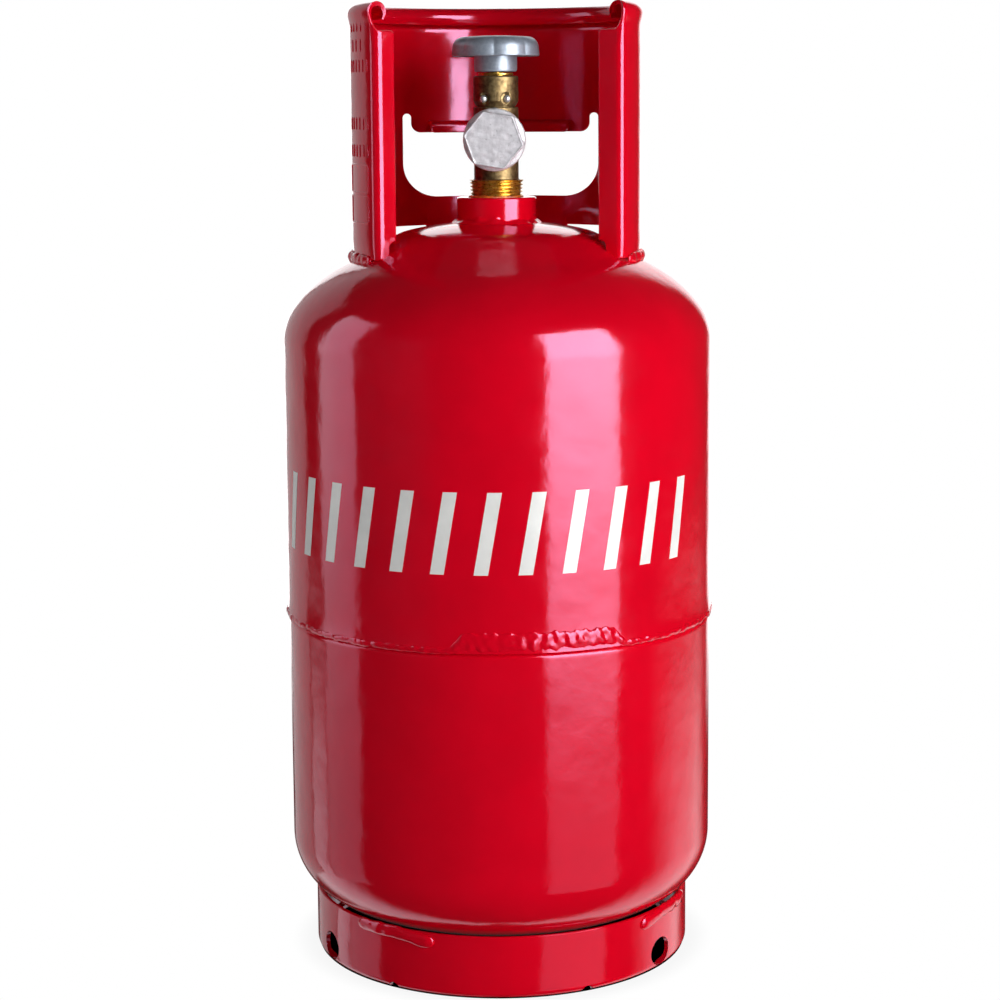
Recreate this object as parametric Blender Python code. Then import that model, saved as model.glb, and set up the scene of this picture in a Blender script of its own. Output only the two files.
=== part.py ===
"""Twelve litre welded steel propane cylinder with a stamped valve guard and a handwheel valve.

Millimetres are used throughout and turned to metres by MM when a mesh is made. The frame is
+Z up with the origin at the middle of the foot ring's base. The valve's outlet faces -Y.
Angles round the cylinder are degrees from -Y (the front), growing towards +X.
"""

import math

import bmesh
import bpy
from mathutils import Matrix, Vector

MM = 0.001
GAP = 0.3                    # clearance between neighbouring solids

# Pressure vessel
SHELL_R = 111.0              # 222 mm outside diameter
SHELL_WALL = 2.2
LOWER_R = 110.6              # the lower shell is a little smaller than the upper one
TOP_TANGENT_Z = 321.5        # where the upper head starts
TOP_HEAD_H = 57.0
CROWN_RISE = 4.6             # how far the middle of the upper head stands above the ellipse
CROWN_SPAN = (46.0, 76.0)    # radii between which that rise fades out
BASE_TANGENT_Z = 61.5        # where the lower head starts
BASE_HEAD_H = 47.0
KNUCKLE_R = 34.5
SEAM_Z = 179.5               # free edge of the upper shell
JOGGLE_H = 18.0              # how far the lower shell reaches up inside the upper one
WELD_R = 112.5
RING_STEPS = 40
VALVE_STEPS = 24

# Foot ring
FOOT_R = 98.8
FOOT_WALL = 2.2
FOOT_H = 32.0
VENT_R = 7.25
VENT_Z = 8.6
VENT_ANGLES = (-64.0, 56.0, 176.0)
DRAIN_R = 3.2
FOOT_WELD_ANGLES = (-34.0, 60.0, 150.0, -124.0)
FOOT_WELD_SPAN = 27.0

# Neck
BOSS_R = 20.5
BOSS_TOP_Z = 395.1
BOSS_BASE_Z = 369.0
NECK_WELD_R = 24.5

# Valve guard
GUARD_R = 74.7
GUARD_WALL = 2.0
GUARD_TOP_Z = 493.3
GUARD_FOOT_Z = 365.3
GUARD_BAND_Z = 377.4         # lower edge between the feet
CURL_R = 4.7
CURL_TURN = 232.0
FRONT_LEFT = -55.0           # where the two front edges of the sheet are folded inwards
FRONT_RIGHT = 60.6
FLANGE_TIP_R = 60.6
FLANGE_Z = (375.2, 479.0)
FRONT_FOOT_END = 100.0
REAR_FOOT = (150.0, 166.0)
WINDOW_X = (-50.0, 54.5)
WINDOW_Z = (392.9, 427.4)
WINDOW_CORNER = 18.0
NOTCH_TOP_Z = 437.5
NOTCH_W = 4.3
HEM_H = 4.4
HEM_DEPTH = 3.0
HEM_SPAN = (146.0, 210.5)

# Valve
VALVE_TURN = -2.0            # the outlet points slightly to the left of the front
THREAD_R = 13.9
THREAD_TOP_Z = 403.8
THREAD_TAPER = 0.06
STUB_BASE_Z = 378.0
COLUMN_R = 11.5
COLUMN_TOP_Z = 441.0
NECK_R = 9.7
NECK_TOP_Z = 454.5
CHAMBER_R = 7.5
SEAT_Z = 416.0
SEAT_R = 4.0
OUTLET_Z = 424.6
OUTLET_R = 10.6
OUTLET_BORE_R = 4.0
OUTLET_END = 38.0
COLLAR_Z = (439.5, 442.0)
STEM_R = 3.5
SQUARE = 5.6
BLOCK_TOP_Z = 456.7
PIN_X = 6.0
PIN_Z = 445.0
PIN_R = 1.2
O_RING_Z = (448.8, 452.2)
O_RING_R = 0.75
LIFT = 3.0

# Handwheel
WHEEL_R = 23.0
WHEEL_HUB_R = 11.0
WHEEL_Z = (458.7, 466.5, 476.9)
RECESS_R = 6.2
RECESS_Z = 471.7

# Outlet cap
CAP_FLATS = 27.0
CAP_FLANGE_R = 15.9
CAP_START = 24.0             # distance of its open end from the valve's axis
CAP_FLANGE_END = 28.5
CAP_END = 42.0
CAP_CORNER_TURN = -12.0


def clear_scene():
    for obj in list(bpy.data.objects):
        bpy.data.objects.remove(obj, do_unlink=True)


def make_material(name, colour, roughness, metallic):
    material = bpy.data.materials.new(name)
    material.use_nodes = True
    shader = material.node_tree.nodes["Principled BSDF"]
    shader.inputs["Base Color"].default_value = (*colour, 1.0)
    shader.inputs["Roughness"].default_value = roughness
    shader.inputs["Metallic"].default_value = metallic
    return material


def make_object(name, mesh, material, parent=None):
    """Links a mesh object, with round faces smooth and edges over 35 degrees sharp."""
    mesh.materials.append(material)
    mesh.shade_smooth()
    mesh.set_sharp_from_angle(angle=math.radians(35.0))
    obj = bpy.data.objects.new(name, mesh)
    bpy.context.scene.collection.objects.link(obj)
    obj.parent = parent
    return obj


def polar(radius, angle, z):
    """A point at this radius and height, at an angle from the front."""
    turn = math.radians(angle)
    return Vector((radius * math.sin(turn), -radius * math.cos(turn), z))


def loft(name, sections, ring):
    """A solid through closed sections of equal point count: a ring, or a bar with two end caps."""
    count = len(sections[0])
    verts = [tuple(point * MM) for section in sections for point in section]
    spans = len(sections) if ring else len(sections) - 1
    faces = []
    for i in range(spans):
        here = i * count
        there = (i + 1) % len(sections) * count
        for j in range(count):
            k = (j + 1) % count
            faces.append((here + j, here + k, there + k, there + j))
    if not ring:
        last = (len(sections) - 1) * count
        faces.append(tuple(reversed(range(count))))
        faces.append(tuple(range(last, last + count)))
    mesh = bpy.data.meshes.new(name)
    mesh.from_pydata(verts, [], faces)
    shape = bmesh.new()
    shape.from_mesh(mesh)
    bmesh.ops.remove_doubles(shape, verts=shape.verts, dist=1e-6)
    bmesh.ops.dissolve_degenerate(shape, edges=shape.edges, dist=1e-7)
    bmesh.ops.recalc_face_normals(shape, faces=shape.faces)
    if shape.calc_volume(signed=True) < 0.0:
        bmesh.ops.reverse_faces(shape, faces=shape.faces)
    shape.to_mesh(mesh)
    shape.free()
    return mesh


def turned_mesh(name, profile, steps):
    """A solid of revolution about Z from a closed outline of (radius, height) points."""
    angles = [360.0 * i / steps for i in range(steps)]
    sections = [[polar(r, angle, z) for r, z in profile] for angle in angles]
    return loft(name, sections, ring=True)


def arc_mesh(name, profile, start, end, step=6.0):
    """A closed (radius, height) outline carried part of the way round the axis."""
    count = max(2, round(abs(end - start) / step))
    angles = [start + (end - start) * i / count for i in range(count + 1)]
    sections = [[polar(r, angle, z) for r, z in profile] for angle in angles]
    return loft(name, sections, ring=False)


def plate_mesh(name, outline, origin, across, up, thickness):
    """An outline of (across, up) points given a thickness to both sides of its plane."""
    normal = across.cross(up)
    flat = [origin + across * a + up * b for a, b in outline]
    front = [point + normal * (thickness / 2) for point in flat]
    back = [point - normal * (thickness / 2) for point in flat]
    return loft(name, [back, front], ring=False)


def box_mesh(name, low, high):
    corners = [(low[0], low[1]), (high[0], low[1]), (high[0], high[1]), (low[0], high[1])]
    sections = [[Vector((x, y, z)) for x, y in corners] for z in (low[2], high[2])]
    return loft(name, sections, ring=False)


def arc_points(centre, radius, start, end, steps):
    """Points on an arc in a flat outline, angles in degrees from its first axis."""
    turns = [math.radians(start + (end - start) * i / steps) for i in range(steps + 1)]
    return [(centre[0] + radius * math.cos(t), centre[1] + radius * math.sin(t)) for t in turns]


def combine(obj, mesh, operation, name):
    """Adds a Boolean of a hidden helper shape, which follows the object's own parent."""
    helper = make_object(name, mesh, obj.data.materials[0], obj.parent)
    helper.hide_render = True
    helper.display_type = "WIRE"
    modifier = obj.modifiers.new(name, "BOOLEAN")
    modifier.operation = operation
    modifier.object = helper
    return helper


def top_head_z(radius, wall=0.0):
    """Height of the upper head at a radius: an ellipse, smaller inside, with a raised crown."""
    share = radius / (SHELL_R - wall)
    ellipse = TOP_TANGENT_Z + (TOP_HEAD_H - wall) * math.sqrt(1.0 - share * share)
    near, far = CROWN_SPAN
    fade = min(max((radius - near) / (far - near), 0.0), 1.0)
    return ellipse + CROWN_RISE * (1.0 - fade * fade * (3.0 - 2.0 * fade))


def base_head(wall, steps):
    """The lower head's outline from its rim to its middle: a knuckle arc, then a crown arc."""
    rim = LOWER_R - wall
    depth = BASE_HEAD_H - wall
    knuckle = KNUCKLE_R - wall
    reach = rim - knuckle
    crown = (reach**2 + depth**2 - knuckle**2) / (2.0 * (depth - knuckle))
    slope = math.atan2(reach, crown - depth)
    centre_z = BASE_TANGENT_Z - depth + crown
    points = []
    for i in range(steps):
        turn = (math.pi / 2.0 - slope) * i / steps
        points.append((reach + knuckle * math.cos(turn), BASE_TANGENT_Z - knuckle * math.sin(turn)))
    for i in range(steps + 1):
        turn = slope * (1.0 - i / steps)
        points.append((crown * math.sin(turn), centre_z - crown * math.cos(turn)))
    return points


def upper_shell(paint):
    hole = BOSS_R + GAP
    radii = [SHELL_R * math.sin(math.radians(90.0 - 9.0 * i)) for i in range(9)]
    outer = [(r, top_head_z(r)) for r in radii] + [(hole, top_head_z(hole))]
    scale = (SHELL_R - SHELL_WALL) / SHELL_R
    inner = [(r * scale, top_head_z(r * scale, SHELL_WALL)) for r in radii]
    inner.append((hole, top_head_z(hole, SHELL_WALL)))
    profile = [(SHELL_R, SEAM_Z)] + outer + inner[::-1] + [(SHELL_R - SHELL_WALL, SEAM_Z)]
    make_object("upper_shell", turned_mesh("upper_shell", profile, RING_STEPS), paint)


def lower_shell(paint):
    inside = SHELL_R - SHELL_WALL - GAP
    outer = [(inside, SEAM_Z + JOGGLE_H), (inside, SEAM_Z - 1.0), (LOWER_R, SEAM_Z - 7.0)]
    outer += base_head(0.0, 5)
    inner = base_head(SHELL_WALL, 5)[::-1]
    inner += [(LOWER_R - SHELL_WALL, SEAM_Z - 8.0), (inside - SHELL_WALL, SEAM_Z - 2.0)]
    inner += [(inside - SHELL_WALL, SEAM_Z + JOGGLE_H)]
    make_object("lower_shell", turned_mesh("lower_shell", outer + inner, RING_STEPS), paint)


def girth_weld(paint):
    root = SHELL_R + GAP
    profile = [(root, SEAM_Z + 7.0), (WELD_R - 0.4, SEAM_Z + 4.5), (WELD_R, SEAM_Z + 1.5)]
    profile += [(WELD_R - 0.3, SEAM_Z - 0.8), (root, SEAM_Z - 1.2)]
    make_object("girth_weld", turned_mesh("girth_weld", profile, RING_STEPS), paint)


def radial_cutter(radius, angle, z, reach):
    """A 24 sided rod that lies along a radius, long enough to pass through a ring there."""
    across = polar(1.0, angle + 90.0, 0.0)
    turns = [math.radians(15.0 * i) for i in range(24)]
    circle = [across * (radius * math.cos(t)) + Vector((0, 0, radius * math.sin(t) + z)) for t in turns]
    ends = [polar(r, angle, 0.0) for r in reach]
    return loft("radial_cutter", [[point + end for point in circle] for end in ends], ring=False)


def foot_ring(paint):
    inside = FOOT_R - FOOT_WALL
    profile = [(FOOT_R, FOOT_H), (inside, FOOT_H), (inside, 4.4), (inside - 1.8, 2.0)]
    profile += [(inside - 1.8, 0.0), (FOOT_R - 2.0, 0.0), (FOOT_R - 0.7, 1.0), (FOOT_R, 3.0)]
    ring = make_object("foot_ring", turned_mesh("foot_ring", profile, RING_STEPS), paint)
    reach = (FOOT_R - 10.0, FOOT_R + 5.0)
    for i, angle in enumerate(VENT_ANGLES):
        combine(ring, radial_cutter(VENT_R, angle, VENT_Z, reach), "DIFFERENCE", f"vent_cut_{i}")
    for i in range(6):
        angle = VENT_ANGLES[0] + 30.0 + 60.0 * i
        cutter = radial_cutter(DRAIN_R, angle, -0.2, reach)
        combine(ring, cutter, "DIFFERENCE", f"drain_cut_{i}")


def foot_welds(paint):
    top = FOOT_H + GAP
    face = FOOT_R + GAP
    profile = [(face, 27.6), (face + 1.2, 28.6), (face + 1.7, 30.6), (face + 1.2, 32.6)]
    profile += [(face + 0.4, 33.6), (face - 1.4, top + 0.5), (face, top)]
    for i, angle in enumerate(FOOT_WELD_ANGLES):
        half = FOOT_WELD_SPAN / 2.0
        mesh = arc_mesh(f"foot_weld_{i + 1}", profile, angle - half, angle + half)
        make_object(f"foot_weld_{i + 1}", mesh, paint)


def stub_r(z):
    """Radius of the valve's tapered thread at a height."""
    return THREAD_R - (THREAD_TOP_Z - z) * THREAD_TAPER


def neck(paint):
    bore_low = stub_r(BOSS_BASE_Z) + GAP
    bore_high = stub_r(BOSS_TOP_Z) + GAP
    profile = [(bore_low, BOSS_BASE_Z), (BOSS_R, BOSS_BASE_Z), (BOSS_R, BOSS_TOP_Z - 0.8)]
    profile += [(BOSS_R - 0.8, BOSS_TOP_Z), (bore_high, BOSS_TOP_Z)]
    make_object("neck_boss", turned_mesh("neck_boss", profile, RING_STEPS), paint)
    root = BOSS_R + GAP
    lift = GAP + 0.1
    foot = top_head_z(NECK_WELD_R) + lift
    profile = [(root, top_head_z(root) + lift), (NECK_WELD_R, foot), (NECK_WELD_R, foot + 0.8)]
    profile += [(root + 1.6, foot + 2.6), (root, foot + 5.6)]
    make_object("neck_weld", turned_mesh("neck_weld", profile, RING_STEPS), paint)


def guard_section():
    """The wall's outline with its top edge rolled inwards, as (radius, height) points."""
    centre = (GUARD_R - CURL_R, GUARD_TOP_Z - CURL_R)
    outer = arc_points(centre, CURL_R, 0.0, CURL_TURN, 8)
    inner = arc_points(centre, CURL_R - GUARD_WALL, CURL_TURN, 0.0, 8)
    inside = GUARD_R - GUARD_WALL
    return [(GUARD_R, GUARD_FOOT_Z)] + outer + inner + [(inside, GUARD_FOOT_Z)]


def window_outline():
    """The hand hold in the back of the guard, with a notch at each end of its hemmed top edge."""
    left, right = WINDOW_X
    low, high = WINDOW_Z
    r = WINDOW_CORNER
    points = arc_points((left + r, low + r), r, 180.0, 270.0, 6)
    points += arc_points((right - r, low + r), r, 270.0, 360.0, 6)
    half = NOTCH_W / 2.0
    points += arc_points((right - half, NOTCH_TOP_Z - half), half, 0.0, 180.0, 5)
    points += arc_points((right - NOTCH_W - 2.5, high + 2.5), 2.5, 0.0, -90.0, 3)
    points += arc_points((left + NOTCH_W + 2.5, high + 2.5), 2.5, -90.0, -180.0, 3)
    points += arc_points((left + half, NOTCH_TOP_Z - half), half, 0.0, 180.0, 5)
    return points


def flange_outline():
    """A front edge's inward fold, as (inward distance, height), with its corners rounded."""
    depth = GUARD_R - 0.8 - FLANGE_TIP_R
    low, high = FLANGE_Z
    points = [(0.0, low - 6.0), (3.0, low - 5.0)]
    points += arc_points((depth - 2.0, low + 2.0), 2.0, -90.0, 0.0, 3)
    points += arc_points((depth - 2.5, high - 2.5), 2.5, 0.0, 90.0, 3)
    points += [(0.0, high)]
    return points


def valve_guard(paint):
    start = FRONT_RIGHT
    end = FRONT_LEFT + 360.0
    guard = make_object("valve_guard", arc_mesh("valve_guard", guard_section(), start, end), paint)
    for side, angle, sign in (("left", FRONT_LEFT, -1.0), ("right", FRONT_RIGHT, 1.0)):
        inward = -polar(1.0, angle, 0.0)
        along = polar(1.0, angle + sign * 90.0, 0.0)
        origin = polar(GUARD_R - 0.8, angle, 0.0) + along * (GUARD_WALL / 2.0 + 0.05)
        up = Vector((0.0, 0.0, 1.0))
        mesh = plate_mesh(f"flange_{side}", flange_outline(), origin, inward, up, GUARD_WALL)
        combine(guard, mesh, "UNION", f"flange_{side}")
    inside = GUARD_R - GUARD_WALL
    low = WINDOW_Z[1]
    fold = inside - HEM_DEPTH
    hem = [(inside + 0.5, low + 5.0), (inside - 1.6, low + 4.0), (fold, low + 1.9), (fold, low)]
    hem += [(inside - 1.0, low), (inside + 0.5, low + HEM_H)]
    mesh = arc_mesh("hem", hem, *HEM_SPAN)
    combine(guard, mesh, "UNION", "hem")
    back = Vector((0.0, 62.0, 0.0))
    across = Vector((1.0, 0.0, 0.0))
    up = Vector((0.0, 0.0, 1.0))
    mesh = plate_mesh("window_cut", window_outline(), back, across, up, 60.0)
    combine(guard, mesh, "DIFFERENCE", "window_cut")
    section = [(GUARD_R - 12.0, GUARD_FOOT_Z - 5.0), (GUARD_R + 5.0, GUARD_FOOT_Z - 5.0)]
    section += [(GUARD_R + 5.0, GUARD_BAND_Z), (GUARD_R - 12.0, GUARD_BAND_Z)]
    spans = {
        "right": (FRONT_FOOT_END, REAR_FOOT[0]),
        "back": (REAR_FOOT[1], 360.0 - REAR_FOOT[1]),
        "left": (360.0 - REAR_FOOT[0], 360.0 - FRONT_FOOT_END),
    }
    for side, (first, last) in spans.items():
        mesh = arc_mesh(f"edge_cut_{side}", section, first, last)
        combine(guard, mesh, "DIFFERENCE", f"edge_cut_{side}")


def guard_welds(paint):
    root = GUARD_R + GAP
    toe = root + 3.2
    lift = GAP + 0.15
    profile = [(root, top_head_z(root) + lift), (toe, top_head_z(toe) + lift)]
    profile += [(toe, top_head_z(toe) + lift + 0.8), (root + 1.2, top_head_z(root) + 3.4)]
    profile += [(root, top_head_z(root) + 4.0)]
    spans = {
        "front_left": (-FRONT_FOOT_END + 2.0, FRONT_LEFT - 1.0),
        "front_right": (FRONT_RIGHT + 1.0, FRONT_FOOT_END - 2.0),
        "rear_left": (-REAR_FOOT[1], -REAR_FOOT[0]),
        "rear_right": REAR_FOOT,
    }
    for side, (first, last) in spans.items():
        make_object(f"guard_weld_{side}", arc_mesh(side, profile, first, last), paint)


def thread_sealant(compound):
    inner = stub_r(BOSS_TOP_Z) + GAP
    low = BOSS_TOP_Z + GAP
    profile = [(inner, low), (inner + 2.2, low), (inner + 1.6, low + 0.7), (inner, low + 1.0)]
    make_object("thread_sealant", turned_mesh("thread_sealant", profile, VALVE_STEPS), compound)


def rod_mesh(name, radius, start, end, sides, centre=(0.0, 0.0)):
    turns = [2.0 * math.pi * i / sides for i in range(sides)]
    circle = [(centre[0] + radius * math.cos(t), centre[1] + radius * math.sin(t)) for t in turns]
    sections = [[Vector((x, y, z)) for x, y in circle] for z in (start, end)]
    return loft(name, sections, ring=False)


def forwards(mesh, z):
    """Turns a shape made along +Z so that it lies along -Y at height z."""
    mesh.transform(Matrix.Translation((0.0, 0.0, z * MM)) @ Matrix.Rotation(math.pi / 2.0, 4, "X"))
    return mesh


def valve_body(brass, parent):
    profile = [(SEAT_R, STUB_BASE_Z), (stub_r(STUB_BASE_Z), STUB_BASE_Z), (THREAD_R, THREAD_TOP_Z)]
    profile += [(COLUMN_R, THREAD_TOP_Z), (COLUMN_R, COLUMN_TOP_Z), (NECK_R, COLUMN_TOP_Z)]
    profile += [(NECK_R, NECK_TOP_Z), (CHAMBER_R, NECK_TOP_Z), (CHAMBER_R, SEAT_Z)]
    profile += [(SEAT_R, SEAT_Z)]
    body = make_object("valve_body", turned_mesh("valve_body", profile, VALVE_STEPS), brass, parent)
    stub = forwards(rod_mesh("outlet_stub", OUTLET_R, 8.6, OUTLET_END, VALVE_STEPS), OUTLET_Z)
    combine(body, stub, "UNION", "outlet_stub")
    bore = forwards(rod_mesh("outlet_bore", OUTLET_BORE_R, 2.0, OUTLET_END + 2.0, 16), OUTLET_Z)
    combine(body, bore, "DIFFERENCE", "outlet_bore")
    for side, x in (("left", -PIN_X), ("right", PIN_X)):
        hole = forwards(rod_mesh("pin_hole", PIN_R + GAP, -12.0, 12.0, 12, (x, 0.0)), PIN_Z)
        combine(body, hole, "DIFFERENCE", f"body_pin_hole_{side}")


def gland(brass, bright, rubber, parent):
    """The sleeve over the valve's neck, the bush inside it, two cross pins and the stem's seals."""
    inside = NECK_R + GAP
    low = COLUMN_TOP_Z + GAP
    step = NECK_TOP_Z + GAP
    bush_hole = CHAMBER_R
    profile = [(inside, low), (COLUMN_R - 0.9, low), (COLUMN_R, low + 1.2)]
    profile += [(COLUMN_R, BLOCK_TOP_Z - 0.8), (COLUMN_R - 0.8, BLOCK_TOP_Z)]
    profile += [(bush_hole, BLOCK_TOP_Z), (bush_hole, step), (inside, step)]
    sleeve = make_object("gland_sleeve", turned_mesh("gland_sleeve", profile, VALVE_STEPS), brass, parent)
    bush_r = CHAMBER_R - GAP
    bore = STEM_R + GAP
    groove_r = bore + 2.0
    profile = [(bore, COLLAR_Z[1] + 1.3), (bush_r, COLLAR_Z[1] + 1.3), (bush_r, BLOCK_TOP_Z + GAP)]
    profile += [(9.0, BLOCK_TOP_Z + GAP), (9.0, BLOCK_TOP_Z + 1.5), (bore, BLOCK_TOP_Z + 1.5)]
    for z in O_RING_Z[::-1]:
        half = O_RING_R + GAP
        profile += [(bore, z + half), (groove_r, z + half), (groove_r, z - half), (bore, z - half)]
    bush = make_object("gland_bush", turned_mesh("gland_bush", profile, VALVE_STEPS), bright, parent)
    for side, x in (("left", -PIN_X), ("right", PIN_X)):
        for owner in (sleeve, bush):
            hole = forwards(rod_mesh("pin_hole", PIN_R + GAP, -12.0, 12.0, 12, (x, 0.0)), PIN_Z)
            combine(owner, hole, "DIFFERENCE", f"{owner.name}_pin_hole_{side}")
        dish = forwards(rod_mesh("dish", PIN_R + 1.5, 8.6, 12.0, 16, (x, 0.0)), PIN_Z)
        combine(sleeve, dish, "DIFFERENCE", f"pin_dish_{side}")
        shank = [(0.0, -9.4), (PIN_R, -9.4), (PIN_R, 8.9), (1.9, 8.9), (1.7, 9.9), (0.9, 10.5)]
        mesh = turned_mesh("lock_pin", shank + [(0.0, 10.6)], 12)
        mesh.transform(Matrix.Translation((x * MM, 0.0, 0.0)))
        make_object(f"lock_pin_{side}", forwards(mesh, PIN_Z), bright, parent)
    for place, z in zip(("lower", "upper"), O_RING_Z):
        circle = arc_points((bore + 0.1 + O_RING_R, z), O_RING_R, 0.0, 315.0, 7)
        make_object(f"stem_o_ring_{place}", turned_mesh("o_ring", circle, VALVE_STEPS), rubber, parent)


def valve_stem(brass, parent):
    low, high = COLLAR_Z
    profile = [(0.0, low), (CHAMBER_R - GAP, low), (CHAMBER_R - GAP, high), (STEM_R, high)]
    profile += [(STEM_R, WHEEL_Z[0] - 0.1), (0.0, WHEEL_Z[0] - 0.1)]
    stem = make_object("valve_stem", turned_mesh("valve_stem", profile, VALVE_STEPS), brass, parent)
    half = SQUARE / 2.0
    top = RECESS_Z - 0.5
    square = box_mesh("square", (-half, -half, WHEEL_Z[0] - 0.25), (half, half, top))
    combine(stem, square, "UNION", "stem_square")
    tongue = box_mesh("tongue", (-4.0, -1.5, low - 6.1), (4.0, 1.5, low + 1.0))
    combine(stem, tongue, "UNION", "stem_tongue")
    combine(stem, rod_mesh("thread_hole", 1.7, 461.0, top + 2.0, 12), "DIFFERENCE", "stem_hole")


def thrust_washer(bronze, parent):
    low = COLLAR_Z[1] + GAP
    bore = STEM_R + GAP
    outer = CHAMBER_R - GAP
    profile = [(bore, low), (outer, low), (outer, low + 0.7), (bore, low + 0.7)]
    make_object("thrust_washer", turned_mesh("thrust_washer", profile, VALVE_STEPS), bronze, parent)


def valve_plug(brass, nylon, parent):
    head = CHAMBER_R - GAP
    top = COLLAR_Z[0] - GAP - LIFT - 0.2
    shoulder = top - 6.7
    nose = SEAT_Z + 3.65
    profile = [(0.0, nose), (5.5, nose), (5.5, shoulder), (head, shoulder), (head, top), (0.0, top)]
    plug = make_object("valve_plug", turned_mesh("valve_plug", profile, VALVE_STEPS), brass, parent)
    slot = box_mesh("slot", (-4.4, -1.9, top - 6.1), (4.4, 1.9, top + 2.0))
    combine(plug, slot, "DIFFERENCE", "plug_slot")
    low = SEAT_Z + GAP
    profile = [(0.0, low), (5.2, low), (5.4, low + 0.4), (5.4, nose - GAP), (0.0, nose - GAP)]
    make_object("seat_disc", turned_mesh("seat_disc", profile, VALVE_STEPS), nylon, parent)


def handwheel(paint, bright, parent):
    base, rim, top = WHEEL_Z
    profile = [(0.0, base), (WHEEL_HUB_R, base), (WHEEL_HUB_R, rim + 1.6), (20.6, rim + 1.0)]
    profile += [(WHEEL_R - 0.6, rim), (WHEEL_R, rim + 0.6), (WHEEL_R - 0.5, rim + 4.6)]
    profile += [(WHEEL_R - 2.4, rim + 8.0), (WHEEL_R - 6.0, top - 0.4), (WHEEL_R - 11.0, top)]
    profile += [(RECESS_R, top), (RECESS_R, RECESS_Z), (0.0, RECESS_Z)]
    wheel = make_object("handwheel", turned_mesh("handwheel", profile, 36), paint, parent)
    half = SQUARE / 2.0 + GAP
    socket = box_mesh("socket", (-half, -half, base - 2.0), (half, half, RECESS_Z + 2.0))
    combine(wheel, socket, "DIFFERENCE", "wheel_socket")
    low = RECESS_Z + GAP
    profile = [(1.75, low), (5.2, low), (5.2, low + 0.9), (1.75, low + 0.9)]
    make_object("wheel_washer", turned_mesh("wheel_washer", profile, VALVE_STEPS), bright, parent)
    seat = low + 0.9 + GAP
    profile = [(0.0, 462.0), (1.4, 462.0), (1.4, seat), (4.2, seat), (4.2, seat + 1.4)]
    profile += [(3.2, seat + 2.4), (0.0, seat + 2.7)]
    screw = make_object("wheel_screw", turned_mesh("wheel_screw", profile, VALVE_STEPS), bright, parent)
    cut = box_mesh("drive_slot", (-5.0, -0.6, seat + 1.2), (5.0, 0.6, seat + 4.0))
    combine(screw, cut, "DIFFERENCE", "drive_slot")


def outlet_cap(zinc, rubber, parent):
    """A hexagon cap with a round flange, made along +Z and laid along the outlet."""
    bore = OUTLET_R + 0.4
    face = CAP_END - 2.4
    profile = [(bore, CAP_START), (CAP_FLANGE_R, CAP_START), (CAP_FLANGE_R, CAP_FLANGE_END)]
    profile += [(13.0, CAP_FLANGE_END), (13.0, CAP_END - 0.2), (0.0, CAP_END - 0.2)]
    profile += [(0.0, face), (bore, face)]
    mesh = turned_mesh("outlet_cap", profile, VALVE_STEPS)
    cap = make_object("outlet_cap", forwards(mesh, OUTLET_Z), zinc, parent)
    corner = CAP_FLATS / math.sqrt(3.0)
    turns = [math.radians(CAP_CORNER_TURN + 60.0 * i) for i in range(6)]
    hexagon = [(corner * math.cos(t), corner * math.sin(t)) for t in turns]
    small = [(x * 0.955, y * 0.955) for x, y in hexagon]
    levels = ((CAP_FLANGE_END - 1.0, hexagon), (CAP_END - 0.9, hexagon), (CAP_END, small))
    sections = [[Vector((x, y, z)) for x, y in outline] for z, outline in levels]
    prism = forwards(loft("hexagon", sections, ring=False), OUTLET_Z)
    combine(cap, prism, "UNION", "cap_hexagon")
    hollow = forwards(rod_mesh("cap_hollow", bore, CAP_START - 2.0, face, VALVE_STEPS), OUTLET_Z)
    combine(cap, hollow, "DIFFERENCE", "cap_hollow")
    back = OUTLET_END + GAP
    front = face - GAP
    profile = [(OUTLET_BORE_R + 0.5, back), (OUTLET_R, back), (OUTLET_R, front)]
    profile += [(OUTLET_BORE_R + 0.5, front)]
    gasket = forwards(turned_mesh("cap_gasket", profile, VALVE_STEPS), OUTLET_Z)
    make_object("cap_gasket", gasket, rubber, parent)


def build():
    clear_scene()
    red = make_material("red_enamel", (0.62, 0.003, 0.012), 0.16, 0.0)
    brass = make_material("forged_brass", (0.36, 0.22, 0.08), 0.38, 1.0)
    bright = make_material("plated_steel", (0.62, 0.64, 0.66), 0.28, 1.0)
    yellow = make_material("turned_brass", (0.72, 0.50, 0.16), 0.30, 1.0)
    grey = make_material("grey_enamel", (0.24, 0.28, 0.31), 0.35, 0.0)
    zinc = make_material("cast_zinc", (0.60, 0.60, 0.62), 0.50, 1.0)
    rubber = make_material("seal_rubber", (0.02, 0.02, 0.02), 0.60, 0.0)
    nylon = make_material("seat_nylon", (0.75, 0.73, 0.66), 0.45, 0.0)
    compound = make_material("thread_compound", (0.70, 0.20, 0.02), 0.45, 0.0)

    upper_shell(red)
    lower_shell(red)
    girth_weld(red)
    foot_ring(red)
    foot_welds(red)
    neck(red)
    valve_guard(red)
    guard_welds(red)
    thread_sealant(compound)

    valve_axis = bpy.data.objects.new("valve_axis", None)
    bpy.context.scene.collection.objects.link(valve_axis)
    valve_axis.rotation_euler = (0.0, 0.0, math.radians(VALVE_TURN))
    valve_body(brass, valve_axis)
    gland(brass, yellow, rubber, valve_axis)
    valve_stem(yellow, valve_axis)
    thrust_washer(bright, valve_axis)
    valve_plug(yellow, nylon, valve_axis)
    handwheel(grey, bright, valve_axis)
    outlet_cap(zinc, rubber, valve_axis)


build()
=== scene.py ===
"""Looks of a twelve litre propane cylinder: enamelled steel shells, a rolled guard and a brass valve.

Lengths are metres in the frame's axes. Angles round the cylinder are degrees from -Y, the front,
growing towards +X. The valve's pieces are made facing -Y and then turned about Z by VALVE_TURN.
"""

import math

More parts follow.
